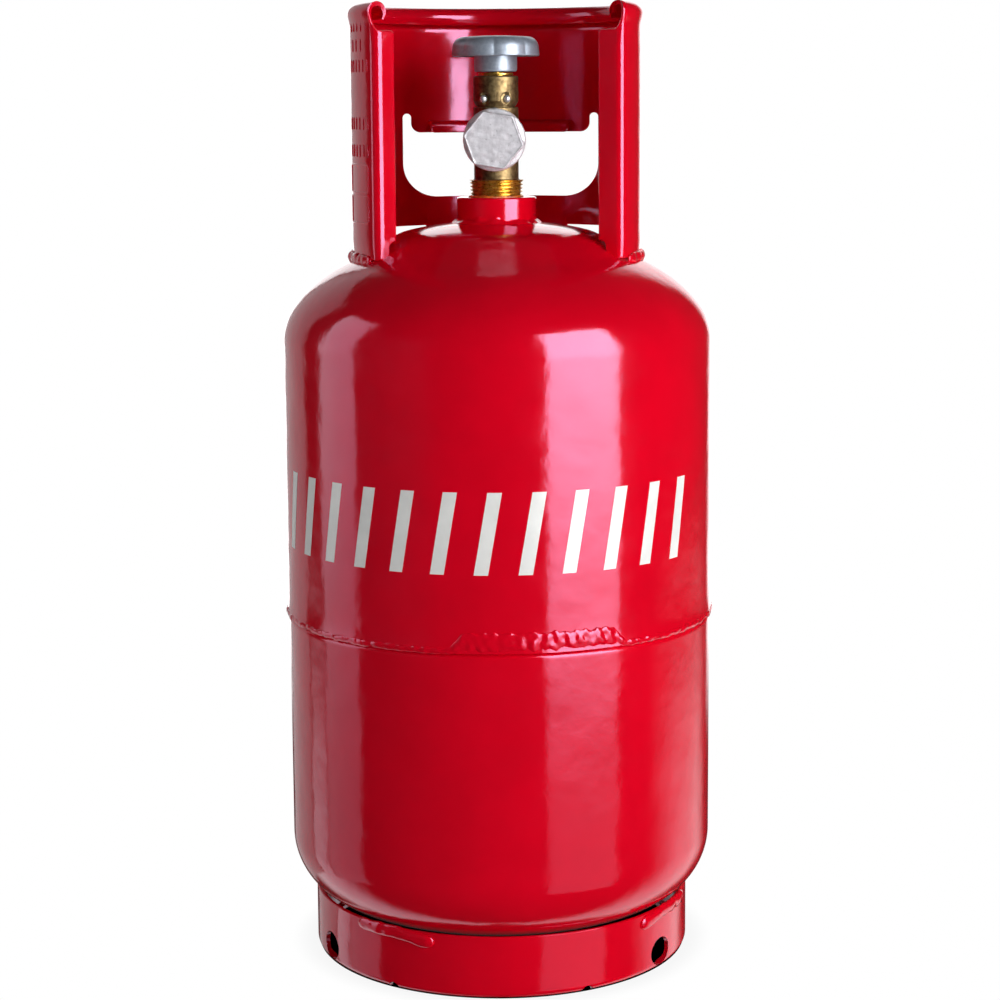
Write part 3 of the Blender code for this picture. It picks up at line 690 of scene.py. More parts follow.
def sealant_mesh():
    """A ring of squeezed out paste whose width and height change with seeded lumps."""
    low = BOSS_Z[1]
    radius = THREAD_R - (THREAD_TOP - low) * TAPER + 0.3 * MM
    degrees = np.linspace(0.0, 360.0, 200, endpoint=False)[:, None]
    oval = np.radians(np.linspace(0.0, 360.0, 18, endpoint=False))
    ring = around(radius, degrees, low)
    spread = 1.0 + 0.7 * lumps(ring, 4 * MM, 31)
    wide = np.clip(0.9 * MM * spread, 0.15 * MM, 2.0 * MM)
    tall = np.clip(0.8 * MM * (0.6 + 0.4 * spread), 0.2 * MM, 1.3 * MM)
    return grid_mesh("sealant_ring", around(radius + wide * np.cos(oval), degrees,
                                            low + tall * np.sin(oval)))


class CYLINDER_OT_neck(bpy.types.Operator):
    """Makes the boss, its weld and the sealant round the valve's thread"""

    bl_idname = "cylinder.neck"
    bl_label = "Neck"

    def execute(self, context):
        red = finish("red_enamel")
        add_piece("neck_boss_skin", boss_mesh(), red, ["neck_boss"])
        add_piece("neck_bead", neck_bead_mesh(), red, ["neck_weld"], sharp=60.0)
        paste = finish("thread_compound")
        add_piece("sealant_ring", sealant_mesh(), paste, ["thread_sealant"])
        return {"FINISHED"}


# ---------------------------------------------------------------- guard

def guard_plan():
    """Mid line of the sheet from above: flange, bend, long way round the back, bend, flange.

    Gives the points, the left hand normals, which face outwards, the lengths along the line
    and the two lengths where the round part starts and ends.
    """
    middle = GUARD_R - SHEET / 2
    lean = math.degrees(math.asin(BEND_R / (middle - BEND_R)))
    reach = (middle - BEND_R) * math.cos(math.radians(lean))
    left, right = FRONT_ANGLES
    half = []
    for angle, side, tip in ((left, -1.0, TIP_R[0]), (right, 1.0, TIP_R[1])):
        inner = around(tip, angle, 0.0)[:2]
        edge = around(reach, angle, 0.0)[:2]
        centre = around(middle - BEND_R, angle + side * lean, 0.0)[:2]
        first = edge - centre
        turns = np.radians(np.linspace(0.0, side * (90.0 + lean), 40))
        spin = np.stack([np.cos(turns), -np.sin(turns), np.sin(turns), np.cos(turns)], -1)
        bend = centre + spin.reshape(-1, 2, 2) @ first
        half.append(np.vstack([inner, bend]))
    sweep = np.linspace(left - lean, right + lean - 360.0, 900)
    ring = around(middle, sweep, 0.0)[:, :2]
    line = np.vstack([half[0], ring[1:-1], half[1][::-1]])
    lengths = np.concatenate([[0.0], np.cumsum(np.linalg.norm(np.diff(line, axis=0), axis=1))])
    first_round = lengths[len(half[0]) - 1]
    return line, lengths, first_round, lengths[-1] - first_round


def guard_section():
    """The sheet's upright section: (outward offset, height) with its length from the foot.

    It is straight, swells outwards by CURL_BULGE, then rolls inwards through CURL_TURN degrees.
    """
    top = GUARD_Z[1] - SHEET / 2 - CURL_R
    heights = np.linspace(GUARD_Z[0], top, 260)
    wall = np.column_stack([CURL_BULGE * step(heights, top - 7 * MM, top), heights])
    roll = arc((CURL_BULGE - CURL_R, top), CURL_R, 0.0, CURL_TURN, 80)
    line = np.vstack([wall, roll[1:]])
    lengths = GUARD_Z[0] + np.concatenate([[0.0], np.cumsum(np.linalg.norm(np.diff(line, axis=0), axis=1))])
    return line, lengths


def spread(values, *stops):
    """Sorted positions: the values and a fine run of 0.3 mm steps round each stop."""
    fine = np.concatenate([np.arange(-3.0, 3.05, 0.3), np.arange(-0.6, 0.65, 0.1)]) * MM
    near = [stop + fine for stop in stops]
    return np.unique(np.round(np.concatenate([values, *near]), 6))


def guard_sheet_mesh():
    """One rolled sheet with half round edges.

    The mid surface is a grid over the length along the plan and the length up the section. Both
    sides stand off it by half the sheet's thickness, which falls to nothing at every edge.
    """
    line, lengths, round_start, round_end = guard_plan()
    section, rise = guard_section()
    per_degree = math.radians(1.0) * (GUARD_R - SHEET / 2)
    lean = math.degrees(math.asin(BEND_R / (GUARD_R - SHEET / 2 - BEND_R)))

    def along(angle):
        """Length along the plan at an angle of the round part, counted down from the left."""
        return round_start + (FRONT_ANGLES[0] - lean - angle) * per_degree

    feet = [along(-FOOT_END), along(-REAR_FOOT[0]), along(-REAR_FOOT[1]),
            along(REAR_FOOT[1] - 360.0), along(REAR_FOOT[0] - 360.0), along(FOOT_END - 360.0)]
    rim = np.array([0.0, 0.04, 0.16, 0.35, 0.6, 0.82, 1.0]) * MM
    total = lengths[-1]
    inner = np.arange(1.0 * MM, total - 1.0 * MM, 1.3 * MM)
    near_tips = (SCALLOP[0], total - SCALLOP[0])
    where = spread(inner, *feet, *near_tips, round_start, round_end)
    where = np.concatenate([rim[:-1], where[(where > rim[-1]) & (where < total - rim[-1])],
                            total - rim[:-1][::-1]])[:, None]

    slot = 2.2 * MM
    raised = 0.0
    for first, last in zip(feet[::2], feet[1::2]):
        started = step(where, first - slot, first + slot)
        ended = step(where, last - slot, last + slot)
        raised = raised + started * (1 - ended)
    edge = np.minimum(where, total - where)
    past = np.minimum(where - round_start, round_end - where)
    reach, drop = SCALLOP
    cut_away = 1.0 - np.sqrt(1.0 - np.clip(edge / reach, 0.0, 1.0) ** 2)
    foot = step(edge, reach, reach + 0.4 * MM)
    flange_bottom = FLANGE_Z[0] - drop * cut_away
    wall_bottom = GUARD_Z[0] + (BAND_Z - GUARD_Z[0]) * raised
    bottom = flange_bottom * (1.0 - foot) + wall_bottom * foot
    nose = 2.0 * MM
    tip = np.clip(edge / nose, 0.0, 1.0)
    droop = nose * (1.0 - np.sqrt(1.0 - (1.0 - tip) ** 2))
    shoulder = GUARD_Z[1] - SHEET / 2 - CURL_R - FLANGE_Z[1]
    swing = np.clip((past + 4.2 * MM) / (3.8 * MM), 0.0, 1.0)
    top = FLANGE_Z[1] - droop + shoulder * (1.0 - np.sqrt(1.0 - swing**2))
    top = top + (rise[-1] - FLANGE_Z[1] - shoulder) * step(past, -0.4 * MM, 0.1 * MM)

    low = bottom + rim
    high = top - rim[::-1]
    knee = np.minimum(476.0 * MM, high[:, :1])
    wall = low[:, -1:] + (knee - low[:, -1:]) * np.linspace(0.0, 1.0, 70)[1:-1]
    roll = knee + (high[:, :1] - knee) * np.linspace(0.0, 1.0, 34)[:-1]
    height = np.concatenate([low, wall, roll, high], 1)

    spot = np.stack([np.interp(where[:, 0], lengths, line[:, i]) for i in (0, 1)], -1)
    slope = np.gradient(line, lengths, axis=0)
    slope /= np.linalg.norm(slope, axis=1)[:, None]
    face = np.stack([np.interp(where[:, 0], lengths, -slope[:, 1]),
                     np.interp(where[:, 0], lengths, slope[:, 0])], -1)
    face /= np.linalg.norm(face, axis=1)[:, None]
    lean_out = np.gradient(section, rise, axis=0)
    offset, z, tilt_out, tilt_up = [
        np.interp(height, rise, values) for values in (*section.T, *lean_out.T)]
    length = np.hypot(tilt_out, tilt_up)
    normal = np.concatenate([face[:, None] * (tilt_up / length)[..., None],
                             -(tilt_out / length)[..., None]], -1)
    middle = np.concatenate([spot[:, None] + face[:, None] * offset[..., None], z[..., None]], -1)

    half = SHEET / 2
    depth = np.minimum(np.minimum(height - bottom, top - height), np.minimum(where, total - where))
    thick = half * np.sqrt(np.clip(1.0 - (1.0 - np.clip(depth / half, 0.0, 1.0)) ** 2, 0.0, 1.0))
    thick = thick * (0.6 + 0.4 * step(depth, 1 * MM, 9 * MM))
    outer = middle + normal * thick[..., None]
    inner = middle - normal * thick[..., None]
    return grid_mesh("valve_guard_skin", np.concatenate([outer, inner[:, ::-1]], 1), False, True)


def window_cutter():
    """The hand hold through the back: round lower corners and a notch at each end of its top."""
    left, right = WINDOW_X
    low, high = WINDOW_Z
    r = WINDOW_CORNER
    half = NOTCH_W / 2
    outline = np.vstack([
        arc((left + r, low + r), r, 180.0, 270.0, 20),
        arc((right - r, low + r), r, 270.0, 360.0, 20),
        arc((right - half, NOTCH_TOP - half), half, 0.0, 180.0, 14),
        arc((right - NOTCH_W - EAR_R, high + EAR_R), EAR_R, 0.0, -90.0, 8),
        arc((left + NOTCH_W + EAR_R, high + EAR_R), EAR_R, -90.0, -180.0, 8),
        arc((left + half, NOTCH_TOP - half), half, 0.0, 180.0, 14),
    ])
    middle = np.array([(left + right) / 2, (low + high) / 2])
    depth = np.array([30.0, 30.0, 95.0, 95.0]) * MM
    scale = np.array([0.0, 1.0, 1.0, 0.0])
    flat = middle + (outline - middle) * scale[:, None, None]
    depth = np.broadcast_to(depth[:, None], flat.shape[:2])
    points = np.stack([flat[..., 0], depth, flat[..., 1]], -1)
    return grid_mesh("window_cutter", points, False, True)


def hem_mesh():
    """The window's upper edge folded inwards: a bent strip with half round edges and ends."""
    start, end = HEM_SPAN
    wall = GUARD_R - SHEET
    fold = arc((wall - 0.4 * MM, 430.2 * MM), 2.6 * MM, 70.0, 180.0, 14)
    line = np.vstack([fold, [(wall - 3.0 * MM, WINDOW_Z[1] - 0.2 * MM)]])
    line = dense(line, 0.5 * MM)
    lengths = np.concatenate([[0.0], np.cumsum(np.linalg.norm(np.diff(line, axis=0), axis=1))])
    slope = np.gradient(line, lengths, axis=0)
    normal = np.column_stack([slope[:, 1], -slope[:, 0]])
    normal /= np.linalg.norm(normal, axis=1)[:, None]
    reach = math.radians(end - start) * wall
    count = int(reach / (0.8 * MM))
    share = np.linspace(0.0, 1.0, count)
    ease = 1.0 - np.cos(np.pi * share)
    where = (ease / 2.0 * reach)[:, None]
    degrees = start + (end - start) * where / reach
    half = SHEET / 2 - 0.1 * MM
    end_gap = np.minimum(where, reach - where)
    lift = 3.0 * MM * (1.0 - np.sqrt(1.0 - (1.0 - np.clip(end_gap / (3 * MM), 0.0, 1.0)) ** 2))
    depth = np.minimum(np.minimum(lengths[-1] - lengths, lengths + half), end_gap)
    thick = half * np.sqrt(1.0 - (1.0 - np.clip(depth / half, 0.0, 1.0)) ** 2)
    squash = 1.0 - lift / (6 * MM)
    top = line[0, 1]
    z = top + (line[:, 1] - top) * squash
    front = around(line[:, 0] + normal[:, 0] * thick, degrees, z + normal[:, 1] * thick)
    back = around(line[:, 0] - normal[:, 0] * thick, degrees, z - normal[:, 1] * thick)
    return grid_mesh("hand_hold_hem", np.concatenate([front, back[:, ::-1]], 1), False, True)


def raised_line(path, closed, width, height):
    """A rounded ridge on the guard's outer face along a flat path of (arc length, height)."""
    if closed:
        slope = np.roll(path, -1, 0) - np.roll(path, 1, 0)
    else:
        slope = np.gradient(path, axis=0)
    slope /= np.linalg.norm(slope, axis=1)[:, None]
    side = np.column_stack([-slope[:, 1], slope[:, 0]])
    oval = np.radians(np.linspace(0.0, 360.0, 12, endpoint=False))
    shrink = np.ones(len(path))
    if not closed:
        run = np.linspace(-1.0, 1.0, len(path))
        shrink = np.sqrt(1.0 - np.abs(run) ** 12)
    flat = path[:, None] + side[:, None] * (width / 2 * np.cos(oval) * shrink[:, None])[..., None]
    radius = GUARD_R + height * np.sin(oval) * shrink[:, None]
    return around(radius, np.degrees(flat[..., 0] / GUARD_R), flat[..., 1])


def embossing_meshes():
    """Plain raised marks on the guard's left leg: rows of short upright bars and two frames."""
    rows = ((481.7, -76.0, -60.0, 5), (471.8, -74.0, -64.5, 3), (461.7, -76.5, -59.0, 6),
            (433.2, -77.5, -58.8, 6), (419.6, -77.5, -58.8, 6))
    meshes = []
    for z, first, last, count in rows:
        for angle in np.linspace(first, last, count):
            across = math.radians(angle) * GUARD_R
            upright = np.linspace(z - 3.2, z + 3.2, 24) * MM
            path = np.column_stack([np.full(24, across), upright])
            meshes.append(grid_mesh("bar", raised_line(path, False, 1.0 * MM, 0.45 * MM), False, True))
    left, right = (math.radians(angle) * GUARD_R for angle in (-79.0, -59.0))
    r = 1.2 * MM
    for low, high in ((398.9 * MM, 412.8 * MM), (383.6 * MM, 397.3 * MM)):
        outline = np.vstack([
            arc((right - r, high - r), r, 0.0, 90.0, 6), arc((left + r, high - r), r, 90.0, 180.0, 6),
            arc((left + r, low + r), r, 180.0, 270.0, 6), arc((right - r, low + r), r, 270.0, 360.0, 6)])
        path = dense(np.vstack([outline, outline[:1]]), 1.2 * MM)[:-1]
        meshes.append(grid_mesh("frame", raised_line(path, True, 0.9 * MM, 0.4 * MM), True, True))
    return meshes


def joined(name, meshes):
    """Several meshes as one."""
    shape = bmesh.new()
    for mesh in meshes:
        shape.from_mesh(mesh)
    made = bpy.data.meshes.new(name)
    shape.to_mesh(made)
    shape.free()
    return made


def guard_bead_mesh(name, first, last, seed):
    """A rough fillet weld between the guard's foot and the head."""
    radius = GUARD_R + 0.2 * MM
    height = float(head_z(radius)) + 1.2 * MM
    return weld(name, straight(radius, height), straight(1.3 * MM, 2.8 * MM), (first, last), seed, 0.4 * MM)


class CYLINDER_OT_guard(bpy.types.Operator):
    """Makes the rolled valve guard with its hand hold, its welds and its raised marks"""

    bl_idname = "cylinder.guard"
    bl_label = "Valve guard"

    def execute(self, context):
        red = finish("red_enamel")
        sheet = cut(guard_sheet_mesh(), [window_cutter()])
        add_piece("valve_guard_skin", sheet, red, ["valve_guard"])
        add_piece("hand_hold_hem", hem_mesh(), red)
        marks = joined("guard_embossing", embossing_meshes())
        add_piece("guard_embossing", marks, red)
        spans = {
            "front_left": (-FOOT_END + 2.0, FRONT_ANGLES[0] - 4.0),
            "front_right": (FRONT_ANGLES[1] + 4.0, FOOT_END - 2.0),
            "rear_left": (-REAR_FOOT[1], -REAR_FOOT[0]),
            "rear_right": REAR_FOOT,
        }
        for i, (side, (first, last)) in enumerate(spans.items()):
            name = f"guard_bead_{side}"
            mesh = guard_bead_mesh(name, first, last, 40 + i)
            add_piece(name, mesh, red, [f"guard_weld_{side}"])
        return {"FINISHED"}


# ---------------------------------------------------------------- painted band

def band_bar(middle, settings):
    """A slanting bar laid on the shell: a thin curved slab over angle and height."""
    share = np.linspace(-0.5, 0.5, 9)[:, None]
    level = np.linspace(-0.5, 0.5, 15)
    per_degree = math.radians(1.0) * SHELL_R
    degrees = middle + (share * settings.width + level * settings.slant) / per_degree
    z = settings.middle_z + level * settings.height + 0.0 * share
    proud = around(SHELL_R + 0.1 * MM, degrees, z)
    sunk = around(SHELL_R - 0.3 * MM, degrees, z)
    return grid_mesh("bar", np.concatenate([proud, sunk[:, ::-1]], 1), False, True)


def close_ends(mesh):
    """Fills the open ends of a tube of quads."""
    shape = bmesh.new()
    shape.from_mesh(mesh)
    bmesh.ops.remove_doubles(shape, verts=shape.verts, dist=0.002 * MM)
    bmesh.ops.holes_fill(shape, edges=shape.edges)
    shape.to_mesh(mesh)
    shape.free()
    return mesh


class CYLINDER_OT_band(bpy.types.Operator):
    """Makes the painted band of plain slanting bars"""

    bl_idname = "cylinder.band"
    bl_label = "Painted band"

    def execute(self, context):
        band = context.scene.cylinder_band
        middles = np.linspace(band.start, band.end, band.count)
        mesh = joined("painted_band", [close_ends(band_bar(middle, band)) for middle in middles])
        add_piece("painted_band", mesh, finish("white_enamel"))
        return {"FINISHED"}


# ---------------------------------------------------------------- valve

def thread_groove(degrees, along, hand, depth, start, end):
    """Depth below a thread's crests: a cosine that winds once per pitch and fades at both ends."""
    wind = along / PITCH - hand * degrees / 360.0
    groove = (0.5 - 0.5 * np.cos(2 * np.pi * wind)) ** 0.75
    fade = step(along, start, start + 0.5 * PITCH) * (1.0 - step(along, end - 0.35 * PITCH, end))
    return depth * groove * fade


def body_thread_mesh():
    """The body's taper thread down into the boss, with the shoulder on top."""
    start, end = BOSS_Z[1] - 1.2 * MM, THREAD_TOP
    z = np.concatenate([[BODY_Z], np.arange(start, end, 0.12 * MM), [end]])
    crest = THREAD_R - (THREAD_TOP - z) * TAPER
    degrees = np.linspace(0.0, 360.0, 200, endpoint=False)[:, None]
    radius = crest - thread_groove(degrees, z, 1.0, 1.1 * MM, start, end)
    shoulder = np.broadcast_to(np.array([12.6, 11.0, SEAT_R / MM, SEAT_R / MM]) * MM, (200, 4))
    heights = np.array([end, end, SEAT_Z - 5 * MM, BODY_Z])
    points = around(np.concatenate([radius, shoulder], 1), degrees, np.concatenate([z, heights]))
    return grid_mesh("valve_thread", points)


def column_mesh():
    """The body's column, the neck that the gland sleeve covers, and the chamber inside."""
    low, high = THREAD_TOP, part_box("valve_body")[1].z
    foot = arc((COLUMN_R + 0.8 * MM, low + 0.8 * MM), 0.8 * MM, 270.0, 180.0, 6)
    outer = [(COLUMN_R, COLUMN_TOP - 0.6 * MM), (COLUMN_R - 0.6 * MM, COLUMN_TOP),
             (NECK_R, COLUMN_TOP), (NECK_R, high), (CHAMBER_R, high), (CHAMBER_R, SEAT_Z),
             (SEAT_R, SEAT_Z), (SEAT_R, low)]
    return turned("valve_column", dense(np.vstack([foot, outer]), 1.5 * MM), 144)


def outlet_collar_mesh():
    """The forged neck of the outlet: it leaves the column in a fillet that follows its curve."""
    degrees = np.linspace(0.0, 360.0, 120, endpoint=False)[:, None]
    fillet = 2.2 * MM
    radius = OUTLET_R + 0.5 * MM
    seat = np.sqrt(np.maximum(COLUMN_R**2 - (radius * np.sin(np.radians(degrees))) ** 2, 0.0))
    out = np.linspace(0.0, 1.0, 14)
    flare = fillet * (1.0 - np.sqrt(1.0 - (1.0 - out) ** 2))
    along = seat + fillet * out
    tail = np.array([19.0, 19.6, 19.6]) * MM
    back = np.full((120, 1), CHAMBER_R + 0.6 * MM)
    length = np.concatenate([back, back, along, np.broadcast_to(tail, (120, 3))], 1)
    start = np.array([0.0, 9.0 * MM])
    rest = np.array([radius, radius - 0.6 * MM, 0.0])
    r = np.concatenate([start, np.minimum(radius + flare, COLUMN_R + 1.2 * MM), rest])
    return grid_mesh("outlet_collar", forwards(around(r, degrees, length), OUTLET_Z), True, False)


def outlet_thread_mesh():
    """The outlet's left hand thread with its bore and a chamfered end."""
    start, end = 18.0 * MM, OUTLET_END
    z = np.concatenate([np.arange(start, end - 0.4 * MM, 0.14 * MM), [end - 0.4 * MM]])
    degrees = np.linspace(0.0, 360.0, 160, endpoint=False)[:, None]
    radius = OUTLET_R - thread_groove(degrees, z, -1.0, 1.0 * MM, start, end)
    nose = np.broadcast_to(np.array([OUTLET_R - 1.2 * MM, SEAT_R, SEAT_R]), (160, 3))
    heights = np.array([end, end, start])
    points = around(np.concatenate([radius, nose], 1), degrees, np.concatenate([z, heights]))
    return grid_mesh("outlet_thread", forwards(points, OUTLET_Z))


class CYLINDER_OT_valve_body(bpy.types.Operator):
    """Makes the forged valve body with its taper thread and its left hand outlet"""

    bl_idname = "cylinder.valve_body"
    bl_label = "Valve body"

    def execute(self, context):
        forged, cut_brass = finish("forged_brass"), finish("turned_brass")
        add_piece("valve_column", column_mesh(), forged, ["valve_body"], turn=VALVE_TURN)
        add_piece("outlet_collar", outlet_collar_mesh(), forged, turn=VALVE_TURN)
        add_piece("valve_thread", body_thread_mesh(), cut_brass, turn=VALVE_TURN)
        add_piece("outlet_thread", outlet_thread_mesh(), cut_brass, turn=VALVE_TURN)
        return {"FINISHED"}


def sleeve_mesh():
    """The gland sleeve: a turned block pushed in at the front round each pin to leave a dish."""
    low, high = SLEEVE_Z
    bore = NECK_R + GAP
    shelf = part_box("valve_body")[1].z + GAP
    outline = dense([
        (bore, low), (10.2 * MM, low), (COLUMN_R, low + 2.6 * MM),
        (COLUMN_R, high - 0.7 * MM), (COLUMN_R - 0.7 * MM, high), (CHAMBER_R, high),
        (CHAMBER_R, shelf), (bore, shelf), (bore, low + 0.2 * MM)], 0.25 * MM)
    degrees = np.linspace(0.0, 360.0, 260, endpoint=False)[:, None]
    points = around(outline[:, 0], degrees, outline[:, 1])
    skin = np.hypot(points[..., 0], points[..., 1]) > bore + 0.5 * MM
    for side in (-1.0, 1.0):
        away = np.hypot(points[..., 0] - side * PIN_X, points[..., 2] - PIN_Z)
        floor = -8.5 * MM - 0.04 / MM * away**2
        push = np.maximum(floor - points[..., 1], 0.0) * (1.0 - step(away, 3.0 * MM, 3.5 * MM))
        points[..., 1] += push * skin * (points[..., 1] < 0.0)
    return grid_mesh("gland_sleeve_skin", points)


def bush_mesh():
    """The gland bush with its narrow bright flange and two inner grooves for the O rings."""
    bore, skirt = STEM_R, CHAMBER_R - GAP
    low, top = BUSH_Z
    flange = SLEEVE_Z[1] + GAP
    outline = [(bore, low), (skirt, low), (skirt, flange), (8.7 * MM, flange), (9.0 * MM, flange + 0.3 * MM),
               (9.0 * MM, top - 0.3 * MM), (8.7 * MM, top), (bore, top)]
    for z in O_RINGS[::-1]:
        half = 1.05 * MM
        outline += [(bore, z + half), (bore + 2 * MM, z + half), (bore + 2 * MM, z - half), (bore, z - half)]
    return turned("gland_bush_skin", outline, 96)


def pin_mesh(name, x):
    """A cross pin with a domed head, lying front to back."""
    head = arc((0.0, 8.8 * MM), 1.95 * MM, 12.0, 90.0, 12)
    shank = [(0.0, -9.4 * MM), (PIN_R, -9.4 * MM), (PIN_R, 8.8 * MM), (1.9 * MM, 8.8 * MM)]
    outline = np.vstack([shank, head])
    degrees = np.linspace(0.0, 360.0, 48, endpoint=False)[:, None]
    points = forwards(around(outline[:, 0], degrees, outline[:, 1]), PIN_Z)
    points[..., 0] += x
    return grid_mesh(name, points, True, False)


class CYLINDER_OT_gland(bpy.types.Operator):
    """Makes the gland sleeve, the bush and the two cross pins"""

    bl_idname = "cylinder.gland"
    bl_label = "Gland"

    def execute(self, context):
        forged, turned_brass, plated = (finish(n) for n in ("forged_brass", "turned_brass", "plated_steel"))
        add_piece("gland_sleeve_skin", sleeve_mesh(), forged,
                  ["gland_sleeve"], turn=VALVE_TURN)
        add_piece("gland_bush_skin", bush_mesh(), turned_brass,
                  ["gland_bush"], turn=VALVE_TURN)
        for side, x in (("left", -PIN_X), ("right", PIN_X)):
            mesh = pin_mesh(f"lock_pin_{side}_skin", x)
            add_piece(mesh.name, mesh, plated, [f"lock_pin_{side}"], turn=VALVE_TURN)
        return {"FINISHED"}


def handwheel_mesh(settings):
    """A mushroom handwheel: a turned outline whose rim swells and shrinks in shallow lobes."""
    base, top = WHEEL_Z
    rim = top - 10.4 * MM
    inner = arc((HUB_R + 1.2 * MM, rim + 0.4 * MM), 1.2 * MM, 180.0, 90.0, 5)
    lip = arc((WHEEL_R - 0.7 * MM, rim + 0.7 * MM), 0.7 * MM, 240.0, 360.0, 8)
    crown = arc((WHEEL_R - 6.2 * MM, top - 6.4 * MM), 5.9 * MM, 12.0, 84.0, 16)
    outline = np.vstack([
        [(STEM_R + 0.3 * MM, base), (HUB_R - 0.8 * MM, base), (HUB_R - 0.2 * MM, base + 0.4 * MM)],
        [(HUB_R, base + 1.4 * MM)], inner, [(WHEEL_R - 2.6 * MM, rim + 1.2 * MM)], lip, crown,
        [(RECESS_R + 2 * MM, top), (RECESS_R + 0.5 * MM, top - 0.1 * MM), (RECESS_R, top - 0.6 * MM)],
        [(RECESS_R, RECESS_Z), (STEM_R + 0.3 * MM, RECESS_Z)]])
    outline = dense(outline, 0.7 * MM)
    degrees = np.linspace(0.0, 360.0, 260, endpoint=False)[:, None]
    reach = step(outline[:, 0], HUB_R + 1.5 * MM, WHEEL_R - 1 * MM)
    lobe = settings.lobe_depth * (np.abs(np.sin(np.radians(degrees) * settings.lobes / 2)) ** 0.8 - 1.0)
    radius = outline[:, 0] + lobe * reach
    points = around(radius, degrees, outline[:, 1])
    points[..., 2] += 0.12 * MM * lumps(points, 9 * MM, 61) * (outline[:, 1] > rim + 3 * MM) * reach
    points[..., 2] = np.clip(points[..., 2], base, top)
    return grid_mesh("handwheel_skin", points)


def washer_mesh():
    """The plain washer under the screw's head, with a small chamfer."""
    low = WASHER_Z
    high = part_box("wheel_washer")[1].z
    outline = [(1.75 * MM, low), (5.2 * MM, low), (5.2 * MM, high - 0.2 * MM), (5.0 * MM, high),
               (1.75 * MM, high)]
    return turned("wheel_washer_skin", outline, 72)


def screw_mesh():
    """A cheese head screw: a turned shank and head, its slot pressed down across the head."""
    low, top = SCREW_Z
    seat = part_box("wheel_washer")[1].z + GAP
    head = arc((3.2 * MM, top - 1.2 * MM), 1.0 * MM, 0.0, 90.0, 6)
    outline = dense(np.vstack([
        [(0.0, low), (1.4 * MM, low), (1.4 * MM, seat), (4.2 * MM, seat)], head, [(0.0, top)]]), 0.2 * MM)
    degrees = np.linspace(0.0, 360.0, 120, endpoint=False)[:, None]
    points = around(outline[:, 0], degrees, outline[:, 1])
    in_slot = 1.0 - step(np.abs(points[..., 1]), 0.5 * MM, 0.62 * MM)
    points[..., 2] -= in_slot * np.maximum(points[..., 2] - (seat + 1.2 * MM), 0.0)
    return grid_mesh("wheel_screw_skin", points, True, False)


class CYLINDER_OT_handwheel(bpy.types.Operator):
    """Makes the handwheel and the washer and screw that hold it"""

    bl_idname = "cylinder.handwheel"
    bl_label = "Handwheel"

    def execute(self, context):
        wheel = handwheel_mesh(context.scene.cylinder_valve)
        plated = finish("plated_steel")
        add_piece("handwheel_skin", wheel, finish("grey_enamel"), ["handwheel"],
                  "handwheel", VALVE_TURN)
        for name, mesh in (("wheel_washer", washer_mesh()), ("wheel_screw", screw_mesh())):
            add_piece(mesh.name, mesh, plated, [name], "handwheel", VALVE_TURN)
        return {"FINISHED"}


def cap_mesh():
    """The outlet cap: rows run from inside the bore, round the flange and up the hexagon.

    A row's radius is a circle, a hexagon or between them. The hexagon's corners are rounded by
    a power mean of the hexagon and a circle.
    """
    bore = OUTLET_R + 0.4 * MM
    hollow = CAP_END - 2.4 * MM
    flat = CAP_FLATS / 2
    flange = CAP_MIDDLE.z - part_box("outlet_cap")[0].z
    rows = [(0.0, hollow, 0), (bore, hollow, 0),
            (bore, CAP_START + 0.5 * MM, 0), (bore + 0.5 * MM, CAP_START, 0),
            (flange - 1.0 * MM, CAP_START, 0), (flange - 0.2 * MM, CAP_START + 0.6 * MM, 0),
            (flange, CAP_START + 1.6 * MM, 0), (flange - 0.1 * MM, CAP_START + 3.4 * MM, 0),
            (flange - 0.5 * MM, CAP_START + 4.4 * MM, 0), (flat, CAP_START + 5.0 * MM, 1),
            (flat, CAP_END - 1.1 * MM, 1), (flat * 0.99, CAP_END - 0.5 * MM, 1),
            (flat * 0.97, CAP_END - 0.12 * MM, 1), (flat * 0.955, CAP_END, 1), (flat * 0.94, CAP_END, 1),
            (flat * 0.925, CAP_END - 0.22 * MM, 1), (flat * 0.9, CAP_END - 0.28 * MM, 1),
            (flat * 0.6, CAP_END - 0.28 * MM, 1), (0.0, CAP_END - 0.28 * MM, 1)]
    rows = dense(np.array(rows), 0.45 * MM)
    degrees = np.linspace(0.0, 360.0, 300, endpoint=False)[:, None]
    corner = CAP_TURN + 90.0
    swing = np.radians((degrees - corner) % 60.0 - 30.0)
    power = 60.0
    hexagon = (np.cos(swing) ** power + (1 / 1.15) ** power) ** (-1 / power)
    radius = rows[:, 0] * (1.0 + (hexagon - 1.0) * rows[:, 2])
    points = around(radius, degrees, rows[:, 1])
    skin = (rows[:, 0] > bore + 1 * MM) | (rows[:, 1] > hollow + 0.5 * MM)
    swell = 0.04 * MM * lumps(points, 2.5 * MM, 71) + 0.02 * MM * lumps(points, 1.0 * MM, 72)
    points[..., 2] -= (swell + 0.06 * MM) * skin * step(rows[:, 1], CAP_END - 1.5 * MM, CAP_END - 0.2 * MM)
    points[..., :2] *= (1.0 - (np.abs(swell) * 2 * skin)[..., None] / flange)
    return grid_mesh("outlet_cap_skin", forwards(points, OUTLET_Z), True, False)


class CYLINDER_OT_outlet_cap(bpy.types.Operator):
    """Makes the cast hexagon cap on the outlet"""

    bl_idname = "cylinder.outlet_cap"
    bl_label = "Outlet cap"

    def execute(self, context):
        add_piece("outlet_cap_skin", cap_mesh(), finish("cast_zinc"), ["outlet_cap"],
                  "outlet_cap", VALVE_TURN)
        return {"FINISHED"}


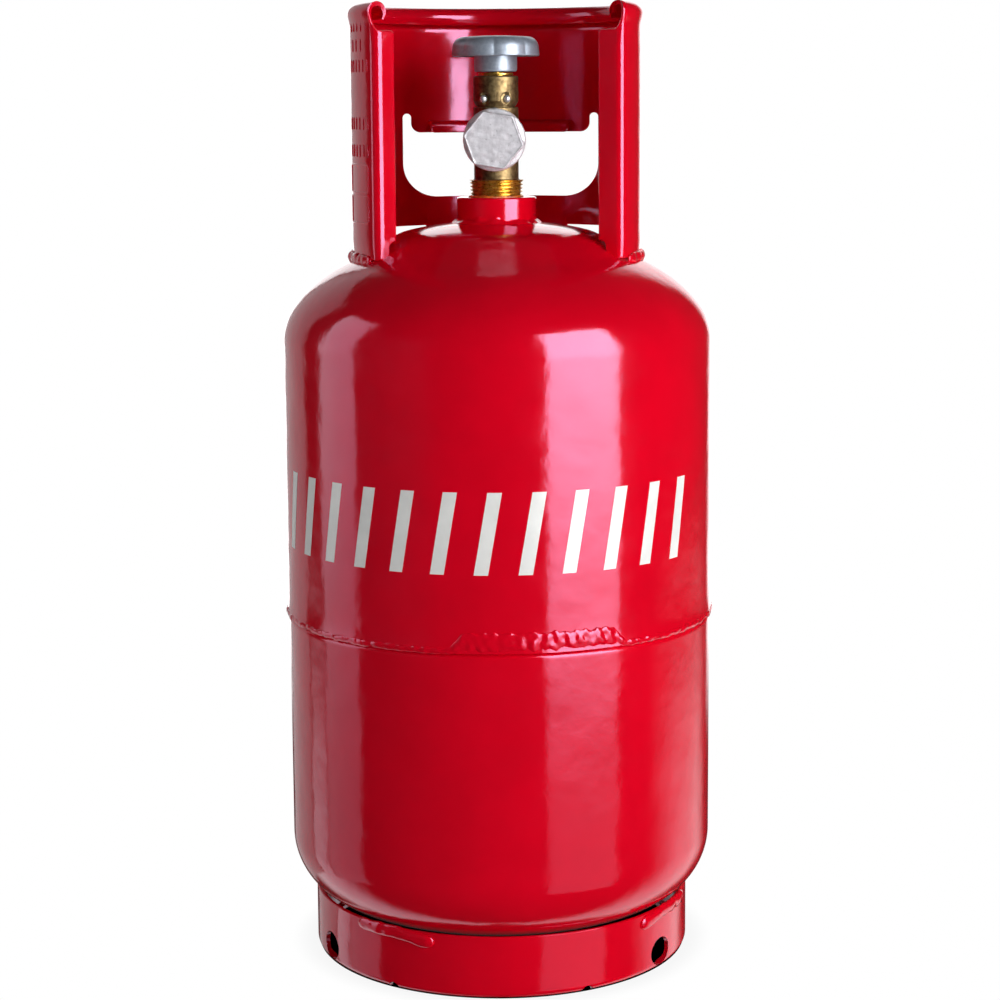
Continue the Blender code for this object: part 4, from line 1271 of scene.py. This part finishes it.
class CYLINDER_OT_inner_parts(bpy.types.Operator):
    """Gives the parts inside the valve their finishes"""

    bl_idname = "cylinder.inner_parts"
    bl_label = "Inner parts"

    def execute(self, context):
        finishes = {
            "valve_stem": "turned_brass", "valve_plug": "turned_brass", "thrust_washer": "plated_steel",
            "stem_o_ring_lower": "seal_rubber", "stem_o_ring_upper": "seal_rubber",
            "cap_gasket": "seal_rubber", "seat_disc": "seat_nylon",
        }
        for node, name in finishes.items():
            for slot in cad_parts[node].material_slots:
                slot.material = finish(name)
        return {"FINISHED"}


# ---------------------------------------------------------------- stage

def softbox(name, azimuth, distance, width, heights, ramp, glow, edge=0.08):
    """An upright panel facing the cylinder. Its glow climbs from one value to another over a ramp."""
    middle = np.array(around(distance, azimuth, 0.0))
    across = np.array(around(1.0, azimuth + 90.0, 0.0)) * width / 2
    low, high = np.array([0.0, 0.0, heights[0]]), np.array([0.0, 0.0, heights[1]])
    corners = [middle - across + low, middle + across + low, middle + across + high, middle - across + high]
    mesh = bpy.data.meshes.new(name)
    mesh.from_pydata([tuple(corner) for corner in corners], [], [(0, 1, 2, 3)])
    layout = mesh.uv_layers.new(name="panel")
    for loop, spot in zip(layout.data, ((0, 0), (1, 0), (1, 1), (0, 1))):
        loop.uv = spot
    material = bpy.data.materials.new(name)
    material.use_nodes = True
    tree = material.node_tree
    tree.nodes.clear()
    place = add_node(tree, "ShaderNodeTexCoord")
    height = add_node(tree, "ShaderNodeSeparateXYZ", links={"Vector": place.outputs["Object"]}).outputs["Z"]
    across_panel = add_node(tree, "ShaderNodeSeparateXYZ", links={"Vector": place.outputs["UV"]}).outputs["X"]
    rise = {"From Min": ramp[0], "From Max": ramp[1], "To Min": glow[0], "To Max": glow[1]}
    power = add_node(tree, "ShaderNodeMapRange", rise, {"Value": height},
                     interpolation_type="SMOOTHSTEP").outputs["Result"]
    for near, far in ((0.0, edge), (1.0, 1.0 - edge)):
        fade = add_node(tree, "ShaderNodeMapRange", {"From Min": near, "From Max": far},
                        {"Value": across_panel}, interpolation_type="SMOOTHSTEP")
        power = add_node(tree, "ShaderNodeMath", links={0: power, 1: fade.outputs["Result"]},
                         operation="MULTIPLY").outputs["Value"]
    light = add_node(tree, "ShaderNodeEmission", links={"Strength": power})
    add_node(tree, "ShaderNodeOutputMaterial", links={"Surface": light.outputs["Emission"]})
    mesh.materials.append(material)
    panel = bpy.data.objects.new(name, mesh)
    bpy.context.scene.collection.objects.link(panel)
    panel.visible_camera = False
    panel.visible_shadow = False
    return panel


def floor_material():
    """Pale seamless paper, near white to the eye, with painted shade: its glow dims near the foot ring and is
    cut off inside it.
    """
    material = bpy.data.materials.new("pale_seamless_paper")
    material.use_nodes = True
    tree = material.node_tree
    tree.nodes.clear()
    seen = add_node(tree, "ShaderNodeLightPath").outputs["Is Camera Ray"]
    place = add_node(tree, "ShaderNodeTexCoord").outputs["Object"]
    away = add_node(tree, "ShaderNodeVectorMath", links={0: place}, operation="LENGTH").outputs["Value"]
    # painted shade: the floor's glow is cut off inside the foot ring
    outside = add_node(tree, "ShaderNodeMath", {1: FOOT_R - 1 * MM}, {0: away}, operation="GREATER_THAN")
    # painted shadow: the glow dims round the foot ring, from 0.92 to full over 16 mm
    shadow = add_node(tree, "ShaderNodeMapRange",
                      {"From Min": FOOT_R, "From Max": FOOT_R + 16 * MM, "To Min": 0.92, "To Max": 1.0},
                      {"Value": away}, interpolation_type="SMOOTHSTEP")
    power = add_node(tree, "ShaderNodeMath", links={0: shadow.outputs["Result"], 1: outside.outputs[0]},
                     operation="MULTIPLY")
    pale = add_node(tree, "ShaderNodeEmission", links={"Strength": power.outputs[0]})
    paper = add_node(tree, "ShaderNodeBsdfDiffuse", {"Color": (0.5, 0.5, 0.5, 1.0)})
    mix = add_node(tree, "ShaderNodeMixShader", links={0: seen, 1: paper.outputs[0], 2: pale.outputs[0]})
    add_node(tree, "ShaderNodeOutputMaterial", links={"Surface": mix.outputs[0]})
    return material


def fade(tree, value, start, end, top=1.0):
    """A smooth step of value, from nothing at start to top at end."""
    return add_node(tree, "ShaderNodeMapRange", {"From Min": start, "From Max": end, "To Max": top},
                    {"Value": value}, interpolation_type="SMOOTHSTEP").outputs["Result"]


def times(tree, first, second):
    """The product of two values."""
    return add_node(tree, "ShaderNodeMath", links={0: first, 1: second}, operation="MULTIPLY").outputs[0]


def studio_world(settings):
    """White to the eye; in reflections dark but for a bright wall behind and a low glow beside it."""
    world = bpy.data.worlds.new("studio")
    bpy.context.scene.world = world
    world.use_nodes = True
    tree = world.node_tree
    tree.nodes.clear()
    seen = add_node(tree, "ShaderNodeLightPath").outputs["Is Camera Ray"]
    way = add_node(tree, "ShaderNodeTexCoord").outputs["Generated"]
    level = add_node(tree, "ShaderNodeVectorMath", {1: (1.0, 1.0, 0.0)}, {0: way}, operation="MULTIPLY")
    level = add_node(tree, "ShaderNodeVectorMath", links={0: level.outputs[0]}, operation="NORMALIZE")
    facing = add_node(tree, "ShaderNodeSeparateXYZ", links={0: level.outputs[0]}).outputs["Y"]
    height = add_node(tree, "ShaderNodeSeparateXYZ", links={0: way}).outputs["Z"]
    wall = fade(tree, facing, 0.88, 0.95, settings.back_glow)
    wall = times(tree, wall, fade(tree, height, 0.75, 0.35))
    wall = times(tree, wall, fade(tree, height, -0.27, -0.2))
    beside = times(tree, fade(tree, facing, -0.1, 0.4), fade(tree, facing, 0.9, 0.7, settings.low_glow))
    low = times(tree, fade(tree, height, -0.15, -0.35), beside)
    lit = add_node(tree, "ShaderNodeMath", links={0: wall, 1: low}).outputs[0]
    total = add_node(tree, "ShaderNodeMath", {1: settings.room_glow}, {0: lit}).outputs[0]
    power = add_node(tree, "ShaderNodeMix", {3: 1.0}, {0: seen, 2: total}).outputs[0]
    glow = add_node(tree, "ShaderNodeBackground", {"Color": (1.0, 1.0, 1.0, 1.0)}, {"Strength": power})
    add_node(tree, "ShaderNodeOutputWorld", links={"Surface": glow.outputs[0]})


def add_camera(settings):
    """A camera in front of the cylinder, tilted down and leaning slightly."""
    pitch, roll = math.radians(settings.camera_pitch), math.radians(settings.camera_roll)
    level_up = Vector((0.0, math.sin(pitch), math.cos(pitch)))
    right = math.cos(roll) * Vector((1.0, 0.0, 0.0)) - math.sin(roll) * level_up
    up = math.sin(roll) * Vector((1.0, 0.0, 0.0)) + math.cos(roll) * level_up
    turn = Matrix((right, up, right.cross(up))).transposed().to_4x4()
    data = bpy.data.cameras.new("camera")
    data.sensor_width = 36.0
    data.lens = settings.camera_lens
    data.shift_x, data.shift_y = 0.0016, -0.05
    camera = bpy.data.objects.new("camera", data)
    camera.matrix_world = Matrix.Translation(settings.camera_place) @ turn
    bpy.context.scene.collection.objects.link(camera)
    bpy.context.scene.camera = camera


class CYLINDER_OT_stage(bpy.types.Operator):
    """Makes the floor, the soft light and the camera"""

    bl_idname = "cylinder.stage"
    bl_label = "Stage"

    def execute(self, context):
        settings = context.scene.cylinder_stage
        half = 4.0
        mesh = bpy.data.meshes.new("floor")
        mesh.from_pydata([(-half, -half, 0), (half, -half, 0), (half, half, 0), (-half, half, 0)], [],
                         [(0, 1, 2, 3)])
        mesh.materials.append(floor_material())
        floor = bpy.data.objects.new("floor", mesh)
        context.scene.collection.objects.link(floor)
        floor.visible_glossy = False
        ramp = (-0.2, 0.4)
        for name, azimuth, width, heights, glow in (
                ("key_sheen", 43.3, 0.76, (-0.5, 1.1), (1.0, settings.key_glow)),
                ("side_sheen", -90.5, 0.51, (-0.5, 1.1), (0.9, settings.side_glow)),
                ("rear_sheen", -138.0, 0.7, (-0.5, 1.1), (0.6, 0.6))):
            panel = softbox(name, azimuth, 1.0, width, heights, ramp, glow)
            panel.visible_diffuse = False
        for name, azimuth, glow in (("right_fill", 48.0, settings.right_fill),
                                    ("left_fill", -56.0, settings.left_fill)):
            panel = softbox(name, azimuth, 1.2, 1.0, (0.0, 0.95), ramp, (glow, glow))
            panel.visible_glossy = False
        studio_world(settings)
        add_camera(settings)
        context.scene.view_settings.view_transform = "Standard"
        return {"FINISHED"}


# ---------------------------------------------------------------- settings and panel

class CylinderPaint(bpy.types.PropertyGroup):
    """Colours and gloss of the paint"""

    red: FloatVectorProperty(name="Red", description="Colour of the enamel", subtype="COLOR",
                             default=(0.75, 0.0003, 0.014))
    white: FloatVectorProperty(name="White", description="Colour of the painted band", subtype="COLOR",
                               default=(0.9, 0.9, 0.88))
    gloss: FloatProperty(name="Roughness", description="Roughness of the enamel", default=0.1,
                         min=0.0, max=1.0, subtype="FACTOR")
    peel: FloatProperty(name="Orange peel", description="Height of the enamel's ripples",
                        default=1.0, min=0.0, max=4.0, subtype="FACTOR")


class CylinderWelds(bpy.types.PropertyGroup):
    """Sizes of the weld runs"""

    overlap_start: FloatProperty(name="Overlap start", default=-10.5,
                                 description="Angle where the girth weld's ends start to overlap")
    overlap_end: FloatProperty(name="Overlap end", default=32.5,
                               description="Angle where the girth weld's ends stop overlapping")
    foot_drop: FloatProperty(name="Foot run drop", default=2.2 * MM, unit="LENGTH",
                             description="How far a foot weld sags at its end")


class CylinderBand(bpy.types.PropertyGroup):
    """Place and size of the painted bars"""

    start: FloatProperty(name="First bar", default=-70.0, description="Angle of the first bar")
    end: FloatProperty(name="Last bar", default=53.2, description="Angle of the last bar")
    count: IntProperty(name="Bars", default=12, min=2, description="Number of bars")
    width: FloatProperty(name="Bar width", default=7.0 * MM, unit="LENGTH", description="Width of a bar")
    slant: FloatProperty(name="Slant", default=7.0 * MM, unit="LENGTH",
                         description="How far a bar's top stands to the right of its foot")
    height: FloatProperty(name="Bar height", default=40.4 * MM, unit="LENGTH", description="Height of a bar")
    middle_z: FloatProperty(name="Band height", default=238.2 * MM, unit="LENGTH",
                            description="Height of the band's middle")


class CylinderValve(bpy.types.PropertyGroup):
    """Shape of the handwheel"""

    lobes: IntProperty(name="Lobes", default=8, min=3, description="Lobes round the handwheel")
    lobe_depth: FloatProperty(name="Lobe depth", default=0.9 * MM, unit="LENGTH",
                              description="Depth of the hollows between the lobes")


class CylinderStage(bpy.types.PropertyGroup):
    """Light and camera"""

    key_glow: FloatProperty(name="Key light", default=17.0, description="Glow of the right panel's top")
    side_glow: FloatProperty(name="Side light", default=3.0, description="Glow of the left panel's top")
    right_fill: FloatProperty(name="Right fill", default=5.6, description="Glow of the right fill panel")
    left_fill: FloatProperty(name="Left fill", default=1.4, description="Glow of the left fill panel")
    back_glow: FloatProperty(name="Wall light", default=2.0, description="Glow of the wall behind")
    low_glow: FloatProperty(name="Low light", default=1.6, description="Glow low down at the sides and back")
    room_glow: FloatProperty(name="Room light", default=0.03, description="Glow of the rest of the room")
    camera_place: FloatVectorProperty(name="Camera place", default=(0.0, -1.232005, 0.444365),
                                      subtype="TRANSLATION", description="Where the camera stands")
    camera_pitch: FloatProperty(name="Camera pitch", default=8.384, description="Degrees it looks down")
    camera_roll: FloatProperty(name="Camera roll", default=0.411, description="Degrees it leans")
    camera_lens: FloatProperty(name="Camera lens", default=85.46, description="Focal length in mm")


OPERATORS = (
    CYLINDER_OT_vessel, CYLINDER_OT_foot, CYLINDER_OT_neck, CYLINDER_OT_guard, CYLINDER_OT_band,
    CYLINDER_OT_valve_body, CYLINDER_OT_gland, CYLINDER_OT_handwheel, CYLINDER_OT_outlet_cap,
    CYLINDER_OT_inner_parts, CYLINDER_OT_stage,
)
SETTINGS = {
    "cylinder_paint": CylinderPaint,
    "cylinder_welds": CylinderWelds,
    "cylinder_band": CylinderBand,
    "cylinder_valve": CylinderValve,
    "cylinder_stage": CylinderStage,
}


class CYLINDER_PT_panel(bpy.types.Panel):
    """Lists the pieces in the order in which they are made"""

    bl_idname = "CYLINDER_PT_panel"
    bl_label = "Gas cylinder"
    bl_space_type = "VIEW_3D"
    bl_region_type = "UI"
    bl_category = "Cylinder"

    def draw(self, context):
        for operator in OPERATORS:
            self.layout.operator(operator.bl_idname)


def register():
    """Adds the settings, the operators and the panel."""
    for group in SETTINGS.values():
        bpy.utils.register_class(group)
    for name, group in SETTINGS.items():
        setattr(bpy.types.Scene, name, PointerProperty(type=group))
    for operator in OPERATORS:
        bpy.utils.register_class(operator)
    bpy.utils.register_class(CYLINDER_PT_panel)


def unregister():
    """Takes them away again."""
    bpy.utils.unregister_class(CYLINDER_PT_panel)
    for operator in reversed(OPERATORS):
        bpy.utils.unregister_class(operator)
    for name, group in SETTINGS.items():
        delattr(bpy.types.Scene, name)
        bpy.utils.unregister_class(group)


def main():
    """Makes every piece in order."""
    register()
    for operator in OPERATORS:
        group, action = operator.bl_idname.split(".")
        getattr(getattr(bpy.ops, group), action)()


if __name__ == "__main__":
    main()
